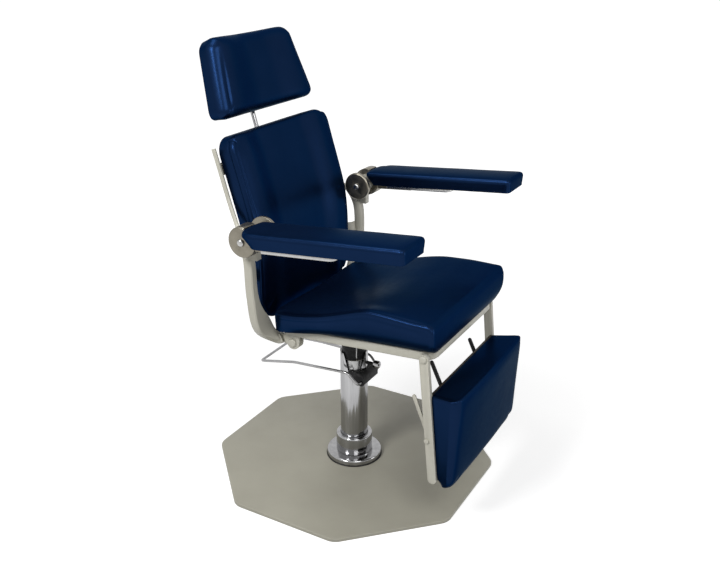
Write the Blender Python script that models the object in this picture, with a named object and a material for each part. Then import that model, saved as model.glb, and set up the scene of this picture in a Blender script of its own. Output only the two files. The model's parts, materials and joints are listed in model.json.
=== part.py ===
"""Ear, nose and throat examination chair, built as separate named pieces.

Metres, +Z up. The floor is z = 0 and the column stands on the Z axis.
The chair faces -Y, so the sitter's right is -X and the sitter's left is +X.
"""
import math

import bmesh
import bpy
from mathutils import Matrix, Vector

# Gap between pieces that touch or run in each other
GAP = 0.0003
# Overlap of pieces that are welded into one
WELD = 0.002
# Facets of a visible round piece and of a small or hidden one
ROUND = 32
SMALL = 16

# Floor plate
PLATE_FLATS = 0.762
PLATE_T = 0.010
PLATE_CORNER_R = 0.045
PLATE_EDGE = 0.003

# Column
FLANGE_R = 0.081
FLANGE_T = 0.018
COLLAR_R = 0.053
COLLAR_H = 0.056
ROUND_EDGE = 0.005
TUBE_R = 0.040
TUBE_WALL = 0.004
TUBE_TOP = 0.353
WINDOW_W = 0.062
WINDOW_FOOT_W = 0.034
WINDOW_DEPTH = 0.062
WINDOW_TURN = math.radians(32.0)

# Lifting ram and gas spring
LIFT = 0.150
RAM_FOOT = 0.062
GUIDE_H = 0.030
GUIDE_STEP = 0.004
GAS_R = 0.018
GAS_TOP = 0.318
GAS_FOOT = 0.072
PISTON_R = 0.007
PISTON_TOP = 0.240
PISTON_FOOT_T = 0.012
BUSH_T = 0.0024
BUSH_LOW = RAM_FOOT + GUIDE_H + LIFT + WELD
BUSH_H = 0.042
RAM_SHOULDER = 0.332
SPINDLE_R = 0.024
SPINDLE_TOP = 0.430
WASHER_T = 0.002

# Swivel hub, black and split
HUB_R = 0.0355
HUB_SLIT = 0.0065
HUB_SLIT_TURN = math.radians(45.0)

# Height bail, its saddle block and the column lock
SADDLE_X = 0.042
SADDLE_TOP = 0.304
BAIL_R = 0.004
BAIL_Y = -0.0475
BAIL_Z = 0.279
BAIL_TRUNNION = 0.028
BAIL_BEND_R = 0.009
BAIL_HALF = ((0.061, BAIL_Y, BAIL_Z), (0.065, -0.016, 0.312), (0.075, 0.157, 0.306), (0.092, 0.262, 0.291))
SADDLE_FRONT = BAIL_Y - 0.008
SADDLE_REAR = -0.004
SADDLE_LOW = BAIL_Z - 0.013
SADDLE_REAR_LOW = BAIL_Z + 0.010
SADDLE_BEVEL = 0.010
LOCK_Z = 0.319
LOCK_TURN = math.radians(8.0)
LOCK_ROD_R = 0.0045
LOCK_REACH = 0.058
LOCK_KNOB_R = 0.011
LOCK_KNOB_L = 0.022
LOCK_KNOB_NECK = 0.0066
LOCK_KNOB_EDGE = 0.004

# Seat frame, in its own tilted frame: y fore and aft, z up from the rail's middle
SEAT_TILT = math.radians(4.0)
RAIL_Z = 0.476
RAIL_X = 0.197
RAIL_W = 0.020
RAIL_H = 0.024
RAIL_FRONT = -0.338
RAIL_REAR = 0.1055
RAIL_CORNER_R = 0.036
RAIL_REAR_R = 0.008
RAIL_SOFT = 0.0025
CROSS_BAR_Y = (-0.115, 0.045)
CROSS_BAR_W = 0.040
CROSS_BAR_T = 0.010
MOUNT_X = 0.080
MOUNT_T = 0.008
MOUNT_FRONT = -0.105
MOUNT_REAR = 0.085
MOUNT_CORNER_R = 0.012
BOARD_T = 0.010

# Recline pivot: two cheeks under each rail with the back's crank between them
RECLINE_Y = 0.075
RECLINE_Z = 0.441
CHEEK_T = 0.005
CHEEK_R = 0.020
CRANK_T = 0.008
CRANK_R = 0.0165
DISC_T = 0.0015
DISC_R = 0.015
RECLINE_PIN_R = 0.006
PIN_HEAD_R = 0.0115
PIN_HEAD_T = 0.005
PIN_BEVEL = 0.002
PIN_NUT_R = 0.0095
PIN_NUT_T = 0.006

# Seat cushion, on the seat frame
SEAT_HALF = 0.236
SEAT_FRONT = -0.359
SEAT_REAR = 0.125
SEAT_CORNER_R = 0.014
SEAT_REAR_R = 0.050
SEAT_EDGE = 0.012
SEAT_DRAW = 0.042
DRAW_POWER = 2.2
DRAW_FADE = 0.21
SEAT_REAR_H = 0.054
SEAT_KNEE_H = 0.094
KNEE_FROM = 0.075
KNEE_RUN = 0.270
FRONT_DROP = 0.007
FRONT_FROM = -0.235
FRONT_RUN = 0.120
SEAT_DISH = 0.014
DISH_Y = -0.030
DISH_WIDE = 0.130
DISH_LONG = 0.150

# Back: the rear face of its cushion follows a bent spine
SPINE_FOOT = (0.167, 0.485)
SPINE_L = 0.503
SPINE_FOOT_LEAN = math.radians(5.0)
BACK_LEAN = math.radians(16.8)
SPINE_BEND = 0.360
BACK_HALF = 0.2245
BACK_T = 0.042
BACK_BOLSTER = 0.012
BOLSTER_FROM = 0.120
BOLSTER_RUN = 0.050
BACK_DRAW = 0.001
BACK_EDGE = 0.024
BACK_CORNER_R = 0.046
BACK_FOOT_R = 0.075
BACK_FOOT_SHARE = 0.35
BACK_TAPER = 0.300
BACK_BOARD_T = 0.006
BACK_BOARD_IN = 0.012
BACK_BOARD_ENDS = 0.020
BACK_BOARD_R = 0.030
BACK_BAR_W = 0.010
BACK_BAR_X = BACK_HALF + 0.0033 + BACK_BAR_W / 2
BACK_BAR_D = 0.012
BACK_BAR_SET = 0.0035
TUBE_W = 0.022
TUBE_D = 0.026
SIDE_TUBE_X = 0.277
SIDE_PATH = ((0.193, 0.111, 0.446), (0.200, 0.122, 0.446), (0.226, 0.138, 0.475), (0.258, 0.142, 0.528),
             (SIDE_TUBE_X, 0.142, 0.600), (SIDE_TUBE_X, 0.146, 0.690), (0.266, 0.172, 0.735),
             (BACK_BAR_X + 0.010, 0.207, 0.770))
SIDE_TOP_S = (SPINE_L - 0.167, SPINE_L - 0.097, SPINE_L - 0.022)
FLARE_W = 0.030
FLARE_AT = 0.25
FLARE_RUN = 0.085
SLIM_FROM = 0.50
SLIM_RUN = 0.16
CRANK_TAIL = ((0.128, 0.434), (0.142, 0.446), (0.138, 0.458), (0.118, 0.456), (0.104, 0.4525))
NECK_W = 0.019
NECK_DROP = 0.062
NECK_IN = 0.010
NECK_OUT = 0.034
BACK_CROSS_T = 0.005
BACK_CROSS_H = 0.032
UPPER_CROSS_S = SPINE_L - 0.077
LOWER_CROSS_S = 0.139
STRAP_TAB_X = 0.250
STRAP_BACK_X = 0.228
STRAP_STEP = 0.041
STRAP_BEND_R = 0.010

# Arm pivots, stacked along X from the middle outwards
ARM_Y = 0.124
ARM_Z = 0.759
ARM_CAP_X = 0.2285
ARM_CAP_T = 0.012
ARM_HUB_L = 0.0475
ARM_DRUM_L = 0.0455
ARM_DISC_R = 0.040
ARM_HUB_R = 0.024
ARM_BOLT_R = 0.006
ARM_HEAD_R = 0.0095
ARM_HEAD_T = 0.006
ARM_BEVEL = 0.003

# Arm rests, in a frame at the arm pivot that rises to the front
ARM_PITCH = math.radians(5.0)
PAD_X = (0.256, 0.373)
PAD_FRONT = -0.4686
PAD_REAR = -0.014
PAD_RAKE = 0.018
PAD_T = 0.040
PAD_LOW = -0.002
PAD_EDGE = 0.009
PAD_CROWN = 0.003
PAD_DRAW = 0.004
PAD_CORNER_R = 0.012
PAD_HEEL_R = 0.040
ARM_PLATE_T = 0.008
ARM_PLATE_REAR = -0.080
ARM_PLATE_FRONT = -0.286
ARM_PLATE_IN = 0.007
ARM_PLATE_R = 0.016
TONGUE_T = 0.010
TONGUE_W = 0.032
TONGUE_L = 0.105

# Head rest, in a frame on its rod that leans with the back
ROD_ABOVE = 0.0203
ROD_BEHIND = 0.0344
ROD_R = 0.0065
ROD_LOW = -0.235
HEAD_AXIS = 0.122
CLAMP_R = 0.0145
CLAMP_LOW = -0.100
CLAMP_H = 0.036
CLAMP_X = 0.034
CLAMP_FOOT_T = 0.005
HEAD_KNOB_R = 0.013
HEAD_KNOB_L = 0.018
HEAD_KNOB_EDGE = 0.003
HEAD_STEM_R = 0.004
HEAD_STEM_L = 0.010
BLOCK_X = 0.013
BLOCK_Y = 0.010
BLOCK_H = 0.012
TRUNNION_R = 0.006
TRUNNION_OUT = 0.003
LUG_T = 0.006
LUG_R = 0.011
LUG_FOOT = 0.015
HEAD_REAR = -0.020
HEAD_PLATE_T = 0.003
HEAD_PLATE_X = 0.055
HEAD_PLATE_LOW = -0.026
HEAD_PLATE_HIGH = 0.060
HEAD_PLATE_R = 0.008
HEAD_LOW = 0.018
HEAD_HIGH = 0.224
HEAD_HALF_LOW = 0.2095
HEAD_HALF_HIGH = 0.170
HEAD_T = 0.0515
HEAD_BOLSTER = 0.011
HEAD_BOLSTER_FROM = 0.50
HEAD_BOLSTER_RUN = 0.25
HEAD_DRAW = 0.004
HEAD_EDGE = 0.039
HEAD_CORNER_R = 0.031
HEAD_FOOT_R = 0.044

# Leg rest, in a frame at its pivot that leans forward
LEG_Y = -0.318
LEG_Z = 0.497
LEG_LEAN = math.radians(5.8)
LEG_BAR_GAP = 0.001
LEG_BAR_T = 0.0125
LEG_BAR_W = 0.024
LEG_BAR_L = 0.352
LEG_BOLT_R = 0.005
LEG_HEAD_R = 0.010
LEG_HEAD_T = 0.005
LEG_HEAD_BEVEL = 0.0028
LEG_CROSS_Z = (-0.140, -0.318)
LEG_CROSS_H = 0.024
LEG_CROSS_T = 0.004
LEG_BOARD_T = 0.006
LEG_BOARD_ENDS = (0.030, 0.004)
LEG_BOARD_IN = 0.002
LEG_REAR = -0.0125
LEG_PAD_TOP = -0.096
LEG_PAD_LOW = -0.376
LEG_PAD_HALF = 0.220
LEG_PAD_DRAW = 0.015
LEG_PAD_THICK = 0.082
LEG_PAD_THIN = 0.040
LEG_PAD_CROWN = 0.004
LEG_TOE_DROP = 0.012
LEG_TOE_FROM = 0.72
LEG_EDGE = 0.016
LEG_TOP_R = 0.010
LEG_CORNER_R = 0.054
TIE_ROD_X = 0.110
TIE_ROD_R = 0.0055
TIE_ROD_FOOT = -0.205
TIE_ROD_BEND = -0.124
TIE_ROD_TOP = (-0.056, -0.083)
TIE_ROD_LEAN = 0.36
TIE_ROD_BEND_R = 0.010

# Release lever inside the right bar of the leg rest
LEVER_Y = 0.0065
LEVER_Z = -0.2275
LEVER_TIP_Y = -0.289
LEVER_TIP_Z = 0.380
LEVER_W = 0.010
LEVER_T = 0.004
LEVER_BOLT_R = 0.004
LEVER_HEAD_R = 0.007
LEVER_HEAD_T = 0.004
LEVER_BEVEL = 0.0015

SIDES = (("right", -1.0), ("left", 1.0))
TO_X = Matrix.Rotation(math.pi / 2, 4, "Y")


def material(name, colour, roughness, metallic):
    """One plain Principled material."""
    made = bpy.data.materials.new(name)
    made.use_nodes = True
    shader = made.node_tree.nodes["Principled BSDF"]
    shader.inputs["Base Color"].default_value = (*colour, 1.0)
    shader.inputs["Roughness"].default_value = roughness
    shader.inputs["Metallic"].default_value = metallic
    return made


FINISHES = {
    "vinyl": ((0.010, 0.022, 0.060), 0.42, 0.0),
    "plate_paint": ((0.29, 0.28, 0.24), 0.45, 0.0),
    "frame_paint": ((0.50, 0.48, 0.41), 0.45, 0.0),
    "chrome": ((0.80, 0.80, 0.80), 0.12, 1.0),
    "nickel": ((0.34, 0.31, 0.26), 0.32, 1.0),
    "steel": ((0.60, 0.60, 0.58), 0.30, 1.0),
    "black": ((0.015, 0.015, 0.016), 0.40, 0.0),
    "liner": ((0.62, 0.60, 0.52), 0.50, 0.0),
    "ply": ((0.46, 0.31, 0.17), 0.60, 0.0),
}


def empty(name, location, parent=None):
    """An axis marker that a moving group hangs from."""
    made = bpy.data.objects.new(name, None)
    bpy.context.collection.objects.link(made)
    made.parent = parent
    base = Vector((0.0, 0.0, 0.0))
    if parent is not None:
        base = AXIS_POINTS[parent.name]
    AXIS_POINTS[name] = Vector(location)
    made.location = AXIS_POINTS[name] - base
    return made


def add(name, bm, finish, parent=None):
    """Turn a mesh given in the chair's frame into a named object."""
    bmesh.ops.recalc_face_normals(bm, faces=bm.faces)
    if parent is not None:
        offset = AXIS_POINTS[parent.name]
        bmesh.ops.translate(bm, verts=bm.verts, vec=-offset)
    mesh = bpy.data.meshes.new(name)
    bm.to_mesh(mesh)
    bm.free()
    made = bpy.data.objects.new(name, mesh)
    bpy.context.collection.objects.link(made)
    made.parent = parent
    if finish is not None:
        mesh.materials.append(material(name + "_" + finish, *FINISHES[finish]))
    return made


def combine(target, bm, operation):
    """Join or cut a target with a second solid through an exact Boolean."""
    count = len(target.modifiers)
    tool = add("%s_%s_%d" % (target.name, operation.lower(), count), bm, None, target.parent)
    tool.hide_render = True
    tool.display_type = "WIRE"
    step = target.modifiers.new(tool.name, "BOOLEAN")
    step.operation = operation
    step.solver = "EXACT"
    step.object = tool


def weld(target, *solids):
    """Weld solids onto a target."""
    for bm in solids:
        combine(target, bm, "UNION")


def cut(target, *solids):
    """Cut solids out of a target."""
    for bm in solids:
        combine(target, bm, "DIFFERENCE")


def moved(bm, matrix):
    """Move a mesh and hand it back."""
    bmesh.ops.transform(bm, matrix=matrix, verts=bm.verts)
    return bm


def skin(bm, low, high):
    """Faces between two rings; a ring of one vertex is a point."""
    count = max(len(low), len(high))
    for i in range(count):
        j = (i + 1) % count
        corners = [low[i % len(low)], low[j % len(low)], high[j % len(high)], high[i % len(high)]]
        kept = []
        for corner in corners:
            if corner not in kept:
                kept.append(corner)
        bm.faces.new(kept)


def loft(rings):
    """Solid through a row of rings with flat ends."""
    bm = bmesh.new()
    made = [[bm.verts.new(point) for point in ring] for ring in rings]
    for low, high in zip(made, made[1:]):
        skin(bm, low, high)
    bm.faces.new(made[0])
    bm.faces.new(made[-1])
    return bm


def turned(profile, steps=ROUND, bored=False):
    """Solid turned about Z from (radius, height) points."""
    bm = bmesh.new()
    rings = []
    for radius, height in profile:
        if radius == 0.0:
            rings.append([bm.verts.new((0.0, 0.0, height))])
            continue
        ring = []
        for i in range(steps):
            angle = 2.0 * math.pi * i / steps
            ring.append(bm.verts.new((radius * math.cos(angle), radius * math.sin(angle), height)))
        rings.append(ring)
    pairs = list(zip(rings, rings[1:]))
    if bored:
        pairs.append((rings[-1], rings[0]))
    for low, high in pairs:
        skin(bm, low, high)
    return bm


def cylinder(radius, low, high, steps=ROUND):
    """Plain cylinder along Z."""
    return turned([(0.0, low), (radius, low), (radius, high), (0.0, high)], steps)


def x_cylinder(radius, low, high, y, z, steps=SMALL):
    """Plain cylinder along X through (y, z)."""
    return moved(cylinder(radius, low, high, steps), Matrix.Translation((0.0, y, z)) @ TO_X)


def arc(centre, radius, start, end, steps):
    """Points of a flat arc, angles in degrees."""
    points = []
    for i in range(steps + 1):
        angle = math.radians(start + (end - start) * i / steps)
        points.append((centre[0] + radius * math.cos(angle), centre[1] + radius * math.sin(angle)))
    return points


def rounded(corners, steps=6):
    """Flat outline through (a, b, radius) corners, each rounded."""
    points = []
    count = len(corners)
    for i, (a, b, radius) in enumerate(corners):
        here = Vector((a, b))
        back = (Vector(corners[i - 1][:2]) - here).normalized()
        ahead = (Vector(corners[(i + 1) % count][:2]) - here).normalized()
        half = back.angle(ahead) / 2.0
        centre = here + (back + ahead).normalized() * (radius / math.sin(half))
        first = here + back * (radius / math.tan(half)) - centre
        last = here + ahead * (radius / math.tan(half)) - centre
        turn = first.angle_signed(last)
        for step in range(steps + 1):
            spun = first.copy()
            spun.rotate(Matrix.Rotation(-turn * step / steps, 2))
            points.append(tuple(centre + spun))
    return points


def prism(outline, low, high, axis="Z"):
    """Straight solid of a flat outline along one axis."""
    place = {
        "X": lambda a, b, h: (h, a, b),
        "Y": lambda a, b, h: (a, h, b),
        "Z": lambda a, b, h: (a, b, h),
    }[axis]
    return loft([[place(a, b, h) for a, b in outline] for h in (low, high)])


def box(low, high):
    """Plain block between two corners."""
    outline = [(low[0], low[1]), (high[0], low[1]), (high[0], high[1]), (low[0], high[1])]
    return prism(outline, low[2], high[2])


def smooth_path(points, steps):
    """A smooth run of points through the given ones."""
    path = []
    last = len(points) - 1
    for i in range(last):
        a, b = points[max(i - 1, 0)], points[i]
        c, d = points[i + 1], points[min(i + 2, last)]
        for step in range(steps):
            t = step / steps
            near = (2.0 * b + (c - a) * t) / 2.0
            far = (2.0 * a - 5.0 * b + 4.0 * c - d) * t * t + (3.0 * b - a - 3.0 * c + d) * t ** 3
            path.append(near + far / 2.0)
    path.append(points[last])
    return path


def swept(path, section, side=Vector((1.0, 0.0, 0.0))):
    """Solid of a changing section along a path; section(t) gives flat points."""
    rings = []
    last = len(path) - 1
    for i, point in enumerate(path):
        along = (path[min(i + 1, last)] - path[max(i - 1, 0)]).normalized()
        across = (side - along * side.dot(along)).normalized()
        over = along.cross(across)
        rings.append([point + across * a + over * b for a, b in section(i / last)])
    return loft(rings)


def rod(points, radius, steps=SMALL, tip=0.0):
    """Round bar along a path, with a domed end where a tip height is given."""
    rings = []
    last = len(points) - 1
    across = None
    for i, point in enumerate(points):
        along = (points[min(i + 1, last)] - points[max(i - 1, 0)]).normalized()
        if across is None:
            across = along.orthogonal().normalized()
        across = (across - along * across.dot(along)).normalized()
        over = along.cross(across)
        circle = [across * a + over * b for a, b in arc((0, 0), radius, 0, 360, steps)[:-1]]
        rings.append([point + spoke for spoke in circle])
    if tip:
        for angle in (math.radians(35.0), math.radians(70.0)):
            top = points[last] + along * tip * math.sin(angle)
            rings.append([top + spoke * math.cos(angle) for spoke in circle])
    return loft(rings)


def bent(points, radius, steps=5):
    """Straight runs between points with round bends at the inner ones."""
    path = [points[0]]
    for before, here, after in zip(points, points[1:], points[2:]):
        start = here + (before - here).normalized() * radius
        end = here + (after - here).normalized() * radius
        for step in range(steps + 1):
            t = step / steps
            path.append(start * (1 - t) ** 2 + here * 2 * t * (1 - t) + end * t ** 2)
    path.append(points[-1])
    return path


def ease(value):
    """Smooth step from 0 to 1."""
    t = min(max(value, 0.0), 1.0)
    return t * t * (3.0 - 2.0 * t)


def spread(step, count):
    """Grid position from -1 to 1, closer together near the ends."""
    t = 2.0 * step / count - 1.0
    return t + 0.2 * math.sin(math.pi * t)


def cushion(counts, plan, rise):
    """Closed grid solid; plan(u, v, w) gives (x, y) and rise gives its height."""
    bm = bmesh.new()
    made = {}
    wide, long, high = counts
    for i in range(wide + 1):
        for j in range(long + 1):
            for k in range(high + 1):
                if i % wide and j % long and k % high:
                    continue
                u, v, w = spread(i, wide), spread(j, long), k / high
                made[i, j, k] = bm.verts.new((*plan(u, v, w), rise(u, v, w)))

    def quad(*keys):
        bm.faces.new([made[key] for key in keys])

    for i in range(wide):
        for j in range(long):
            for k in (0, high):
                quad((i, j, k), (i + 1, j, k), (i + 1, j + 1, k), (i, j + 1, k))
        for k in range(high):
            for j in (0, long):
                quad((i, j, k), (i + 1, j, k), (i + 1, j, k + 1), (i, j, k + 1))
    for j in range(long):
        for k in range(high):
            for i in (0, wide):
                quad((i, j, k), (i, j + 1, k), (i, j + 1, k + 1), (i, j, k + 1))
    return bm


def round_corner(a, b, half_a, half_b, radius):
    """Pull a rectangle's point into the same rectangle with round corners."""
    inner_a = max(-(half_a - radius), min(half_a - radius, a))
    inner_b = max(-(half_b - radius), min(half_b - radius, b))
    out = Vector((a - inner_a, b - inner_b))
    if out.length > 0.0:
        out *= max(abs(out.x), abs(out.y)) / out.length
    return inner_a + out.x, inner_b + out.y


def roll_off(a, b, half_a, half_b, radius):
    """How far a padded top falls towards its rim."""
    inside = min(half_a - abs(a), half_b - abs(b), radius)
    return radius - math.sqrt(max(radius ** 2 - (radius - inside) ** 2, 0.0))


def build_base():
    """Octagonal floor plate, flange, collar and column tube."""
    def ring(inset, height):
        flats = PLATE_FLATS / 2.0 - inset
        reach = flats / math.cos(math.pi / 8)
        corners = []
        for k in range(8):
            angle = math.pi / 8 + k * math.pi / 4
            corners.append((reach * math.cos(angle), reach * math.sin(angle), PLATE_CORNER_R))
        return [(a, b, height) for a, b in rounded(corners)]

    levels = ((PLATE_EDGE / 3, 0.0), (0.0, PLATE_EDGE / 3), (0.0, PLATE_T - PLATE_EDGE),
              (PLATE_EDGE / 4, PLATE_T - PLATE_EDGE / 4), (PLATE_EDGE, PLATE_T))
    add("base_plate", loft([ring(inset, height) for inset, height in levels]), "plate_paint")

    low = PLATE_T + GAP
    top = low + FLANGE_T
    bore = TUBE_R + GAP
    edge = [(FLANGE_R - ROUND_EDGE + a, top - ROUND_EDGE + b) for a, b in arc((0, 0), ROUND_EDGE, 0, 90, 4)]
    add("base_flange", turned([(bore, low), (FLANGE_R, low), *edge, (bore, top)], ROUND, True), "chrome")

    low = top + GAP
    top = low + COLLAR_H
    edge = [(COLLAR_R - ROUND_EDGE + a, top - ROUND_EDGE + b) for a, b in arc((0, 0), ROUND_EDGE, 0, 90, 4)]
    add("column_collar", turned([(bore, low), (COLLAR_R, low), *edge, (bore, top)], ROUND, True), "chrome")

    low = PLATE_T + GAP
    inner = TUBE_R - TUBE_WALL
    tube = add("column_tube", turned(
        [(inner, low), (TUBE_R, low), (TUBE_R, TUBE_TOP), (inner, TUBE_TOP)], ROUND, True), "chrome")
    foot = TUBE_TOP - WINDOW_DEPTH
    notch = [(-WINDOW_W / 2, TUBE_TOP + WELD), (-WINDOW_FOOT_W / 2, foot + WINDOW_FOOT_W / 4)]
    notch += arc((0.0, foot + WINDOW_FOOT_W / 4), WINDOW_FOOT_W / 2, 200, 340, 6)
    notch += [(WINDOW_FOOT_W / 2, foot + WINDOW_FOOT_W / 4), (WINDOW_W / 2, TUBE_TOP + WELD)]
    facing = Matrix.Rotation(WINDOW_TURN - math.pi / 2, 4, "Z")
    window = moved(prism(notch, -2 * TUBE_R, -TUBE_WALL, "Y"), facing)
    cut(tube, window, lock_solid(cylinder(LOCK_ROD_R + GAP, 0.0, 2 * TUBE_R, SMALL)))

    inside = inner - GAP - BUSH_T
    outside = inner - GAP
    add("column_bush", turned([(inside, BUSH_LOW), (outside, BUSH_LOW), (outside, BUSH_LOW + BUSH_H),
                               (inside, BUSH_LOW + BUSH_H)], ROUND, True), "liner")
    foot = low + PISTON_FOOT_T
    add("lift_piston_rod", turned([(0.0, low), (inner - GAP, low), (inner - GAP, foot), (PISTON_R, foot),
                                   (PISTON_R, PISTON_TOP), (0.0, PISTON_TOP)], SMALL), "steel")


def lock_solid(bm):
    """Place a solid made along +Z onto the column lock's axis."""
    turn = Matrix.Rotation(LOCK_TURN, 4, "Z") @ Matrix.Rotation(math.pi / 2, 4, "X")
    return moved(bm, Matrix.Translation((0.0, 0.0, LOCK_Z)) @ turn)


def build_levers(bail_axis, lock_axis):
    """Saddle block, height bail and column lock."""
    half = SADDLE_BEVEL / 2
    outline = [(SADDLE_REAR, SADDLE_TOP), (SADDLE_FRONT + SADDLE_BEVEL, SADDLE_TOP),
               (SADDLE_FRONT, SADDLE_TOP - SADDLE_BEVEL), (SADDLE_FRONT, SADDLE_LOW + half),
               (SADDLE_FRONT + half, SADDLE_LOW), (SADDLE_FRONT + 3 * half, SADDLE_LOW),
               (SADDLE_REAR, SADDLE_REAR_LOW)]
    saddle = add("bail_saddle", prism(outline, -SADDLE_X, SADDLE_X, "X"), "black")
    cut(saddle, cylinder(TUBE_R + GAP, 0.0, 2 * TUBE_TOP))
    for _, side in SIDES:
        ends = sorted((side * (BAIL_TRUNNION - WELD), side * 2 * SADDLE_X))
        cut(saddle, x_cylinder(BAIL_R + GAP, *ends, BAIL_Y, BAIL_Z))

    half = [Vector((BAIL_TRUNNION, BAIL_Y, BAIL_Z))] + [Vector(point) for point in BAIL_HALF]
    path = [Vector((-p.x, p.y, p.z)) for p in half] + half[::-1]
    add("height_bail", rod(bent(path, BAIL_BEND_R, 3), BAIL_R, 10), "chrome", bail_axis)

    start = TUBE_R - TUBE_WALL + GAP
    add("lock_spindle", lock_solid(cylinder(LOCK_ROD_R, start, LOCK_REACH, SMALL)), "black", lock_axis)
    low = LOCK_REACH + GAP
    high = low + LOCK_KNOB_L
    edge = LOCK_KNOB_EDGE
    knob = [(0.0, low), (LOCK_KNOB_NECK, low), (LOCK_KNOB_R, low + edge), (LOCK_KNOB_R, high - edge),
            (LOCK_KNOB_R - edge / 2, high - edge / 3), (LOCK_KNOB_NECK, high), (0.0, high)]
    add("lock_knob", lock_solid(turned(knob, 24)), "chrome", lock_axis)


def build_ram(lift_axis):
    """Ram with its guide ring, the gas cylinder in it and the swivel washer."""
    ram_r = TUBE_R - TUBE_WALL - 2 * GAP - BUSH_T - GAP
    seat_r = ram_r - GUIDE_STEP
    bore = GAS_R + GAP
    step = RAM_FOOT + GUIDE_H
    add("lift_ram", turned([
        (0.0, SPINDLE_TOP), (SPINDLE_R, SPINDLE_TOP), (SPINDLE_R, RAM_SHOULDER), (ram_r, RAM_SHOULDER),
        (ram_r, step), (seat_r, step), (seat_r, RAM_FOOT), (bore, RAM_FOOT),
        (bore, GAS_TOP + GAP), (0.0, GAS_TOP + GAP)]), "steel", lift_axis)
    inside = seat_r + GAP
    outside = TUBE_R - TUBE_WALL - GAP
    add("ram_guide_ring", turned([(inside, RAM_FOOT), (outside, RAM_FOOT), (outside, step - GAP),
                                  (inside, step - GAP)], ROUND, True), "liner", lift_axis)
    hole = PISTON_R + GAP
    end = PISTON_TOP + WELD
    add("gas_cylinder", turned([(0.0, GAS_TOP), (GAS_R, GAS_TOP), (GAS_R, GAS_FOOT), (hole, GAS_FOOT),
                                (hole, end), (0.0, end)], SMALL), "black", lift_axis)
    inside = SPINDLE_R + GAP
    low = RAM_SHOULDER + GAP
    add("swivel_washer", turned([(inside, low), (ram_r, low), (ram_r, low + WASHER_T),
                                 (inside, low + WASHER_T)], ROUND, True), "liner", lift_axis)
    return low + WASHER_T + GAP


def seat_frame_matrix():
    """From the seat's tilted frame to the chair's."""
    return Matrix.Translation((0.0, 0.0, RAIL_Z)) @ Matrix.Rotation(-SEAT_TILT, 4, "X")


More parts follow.
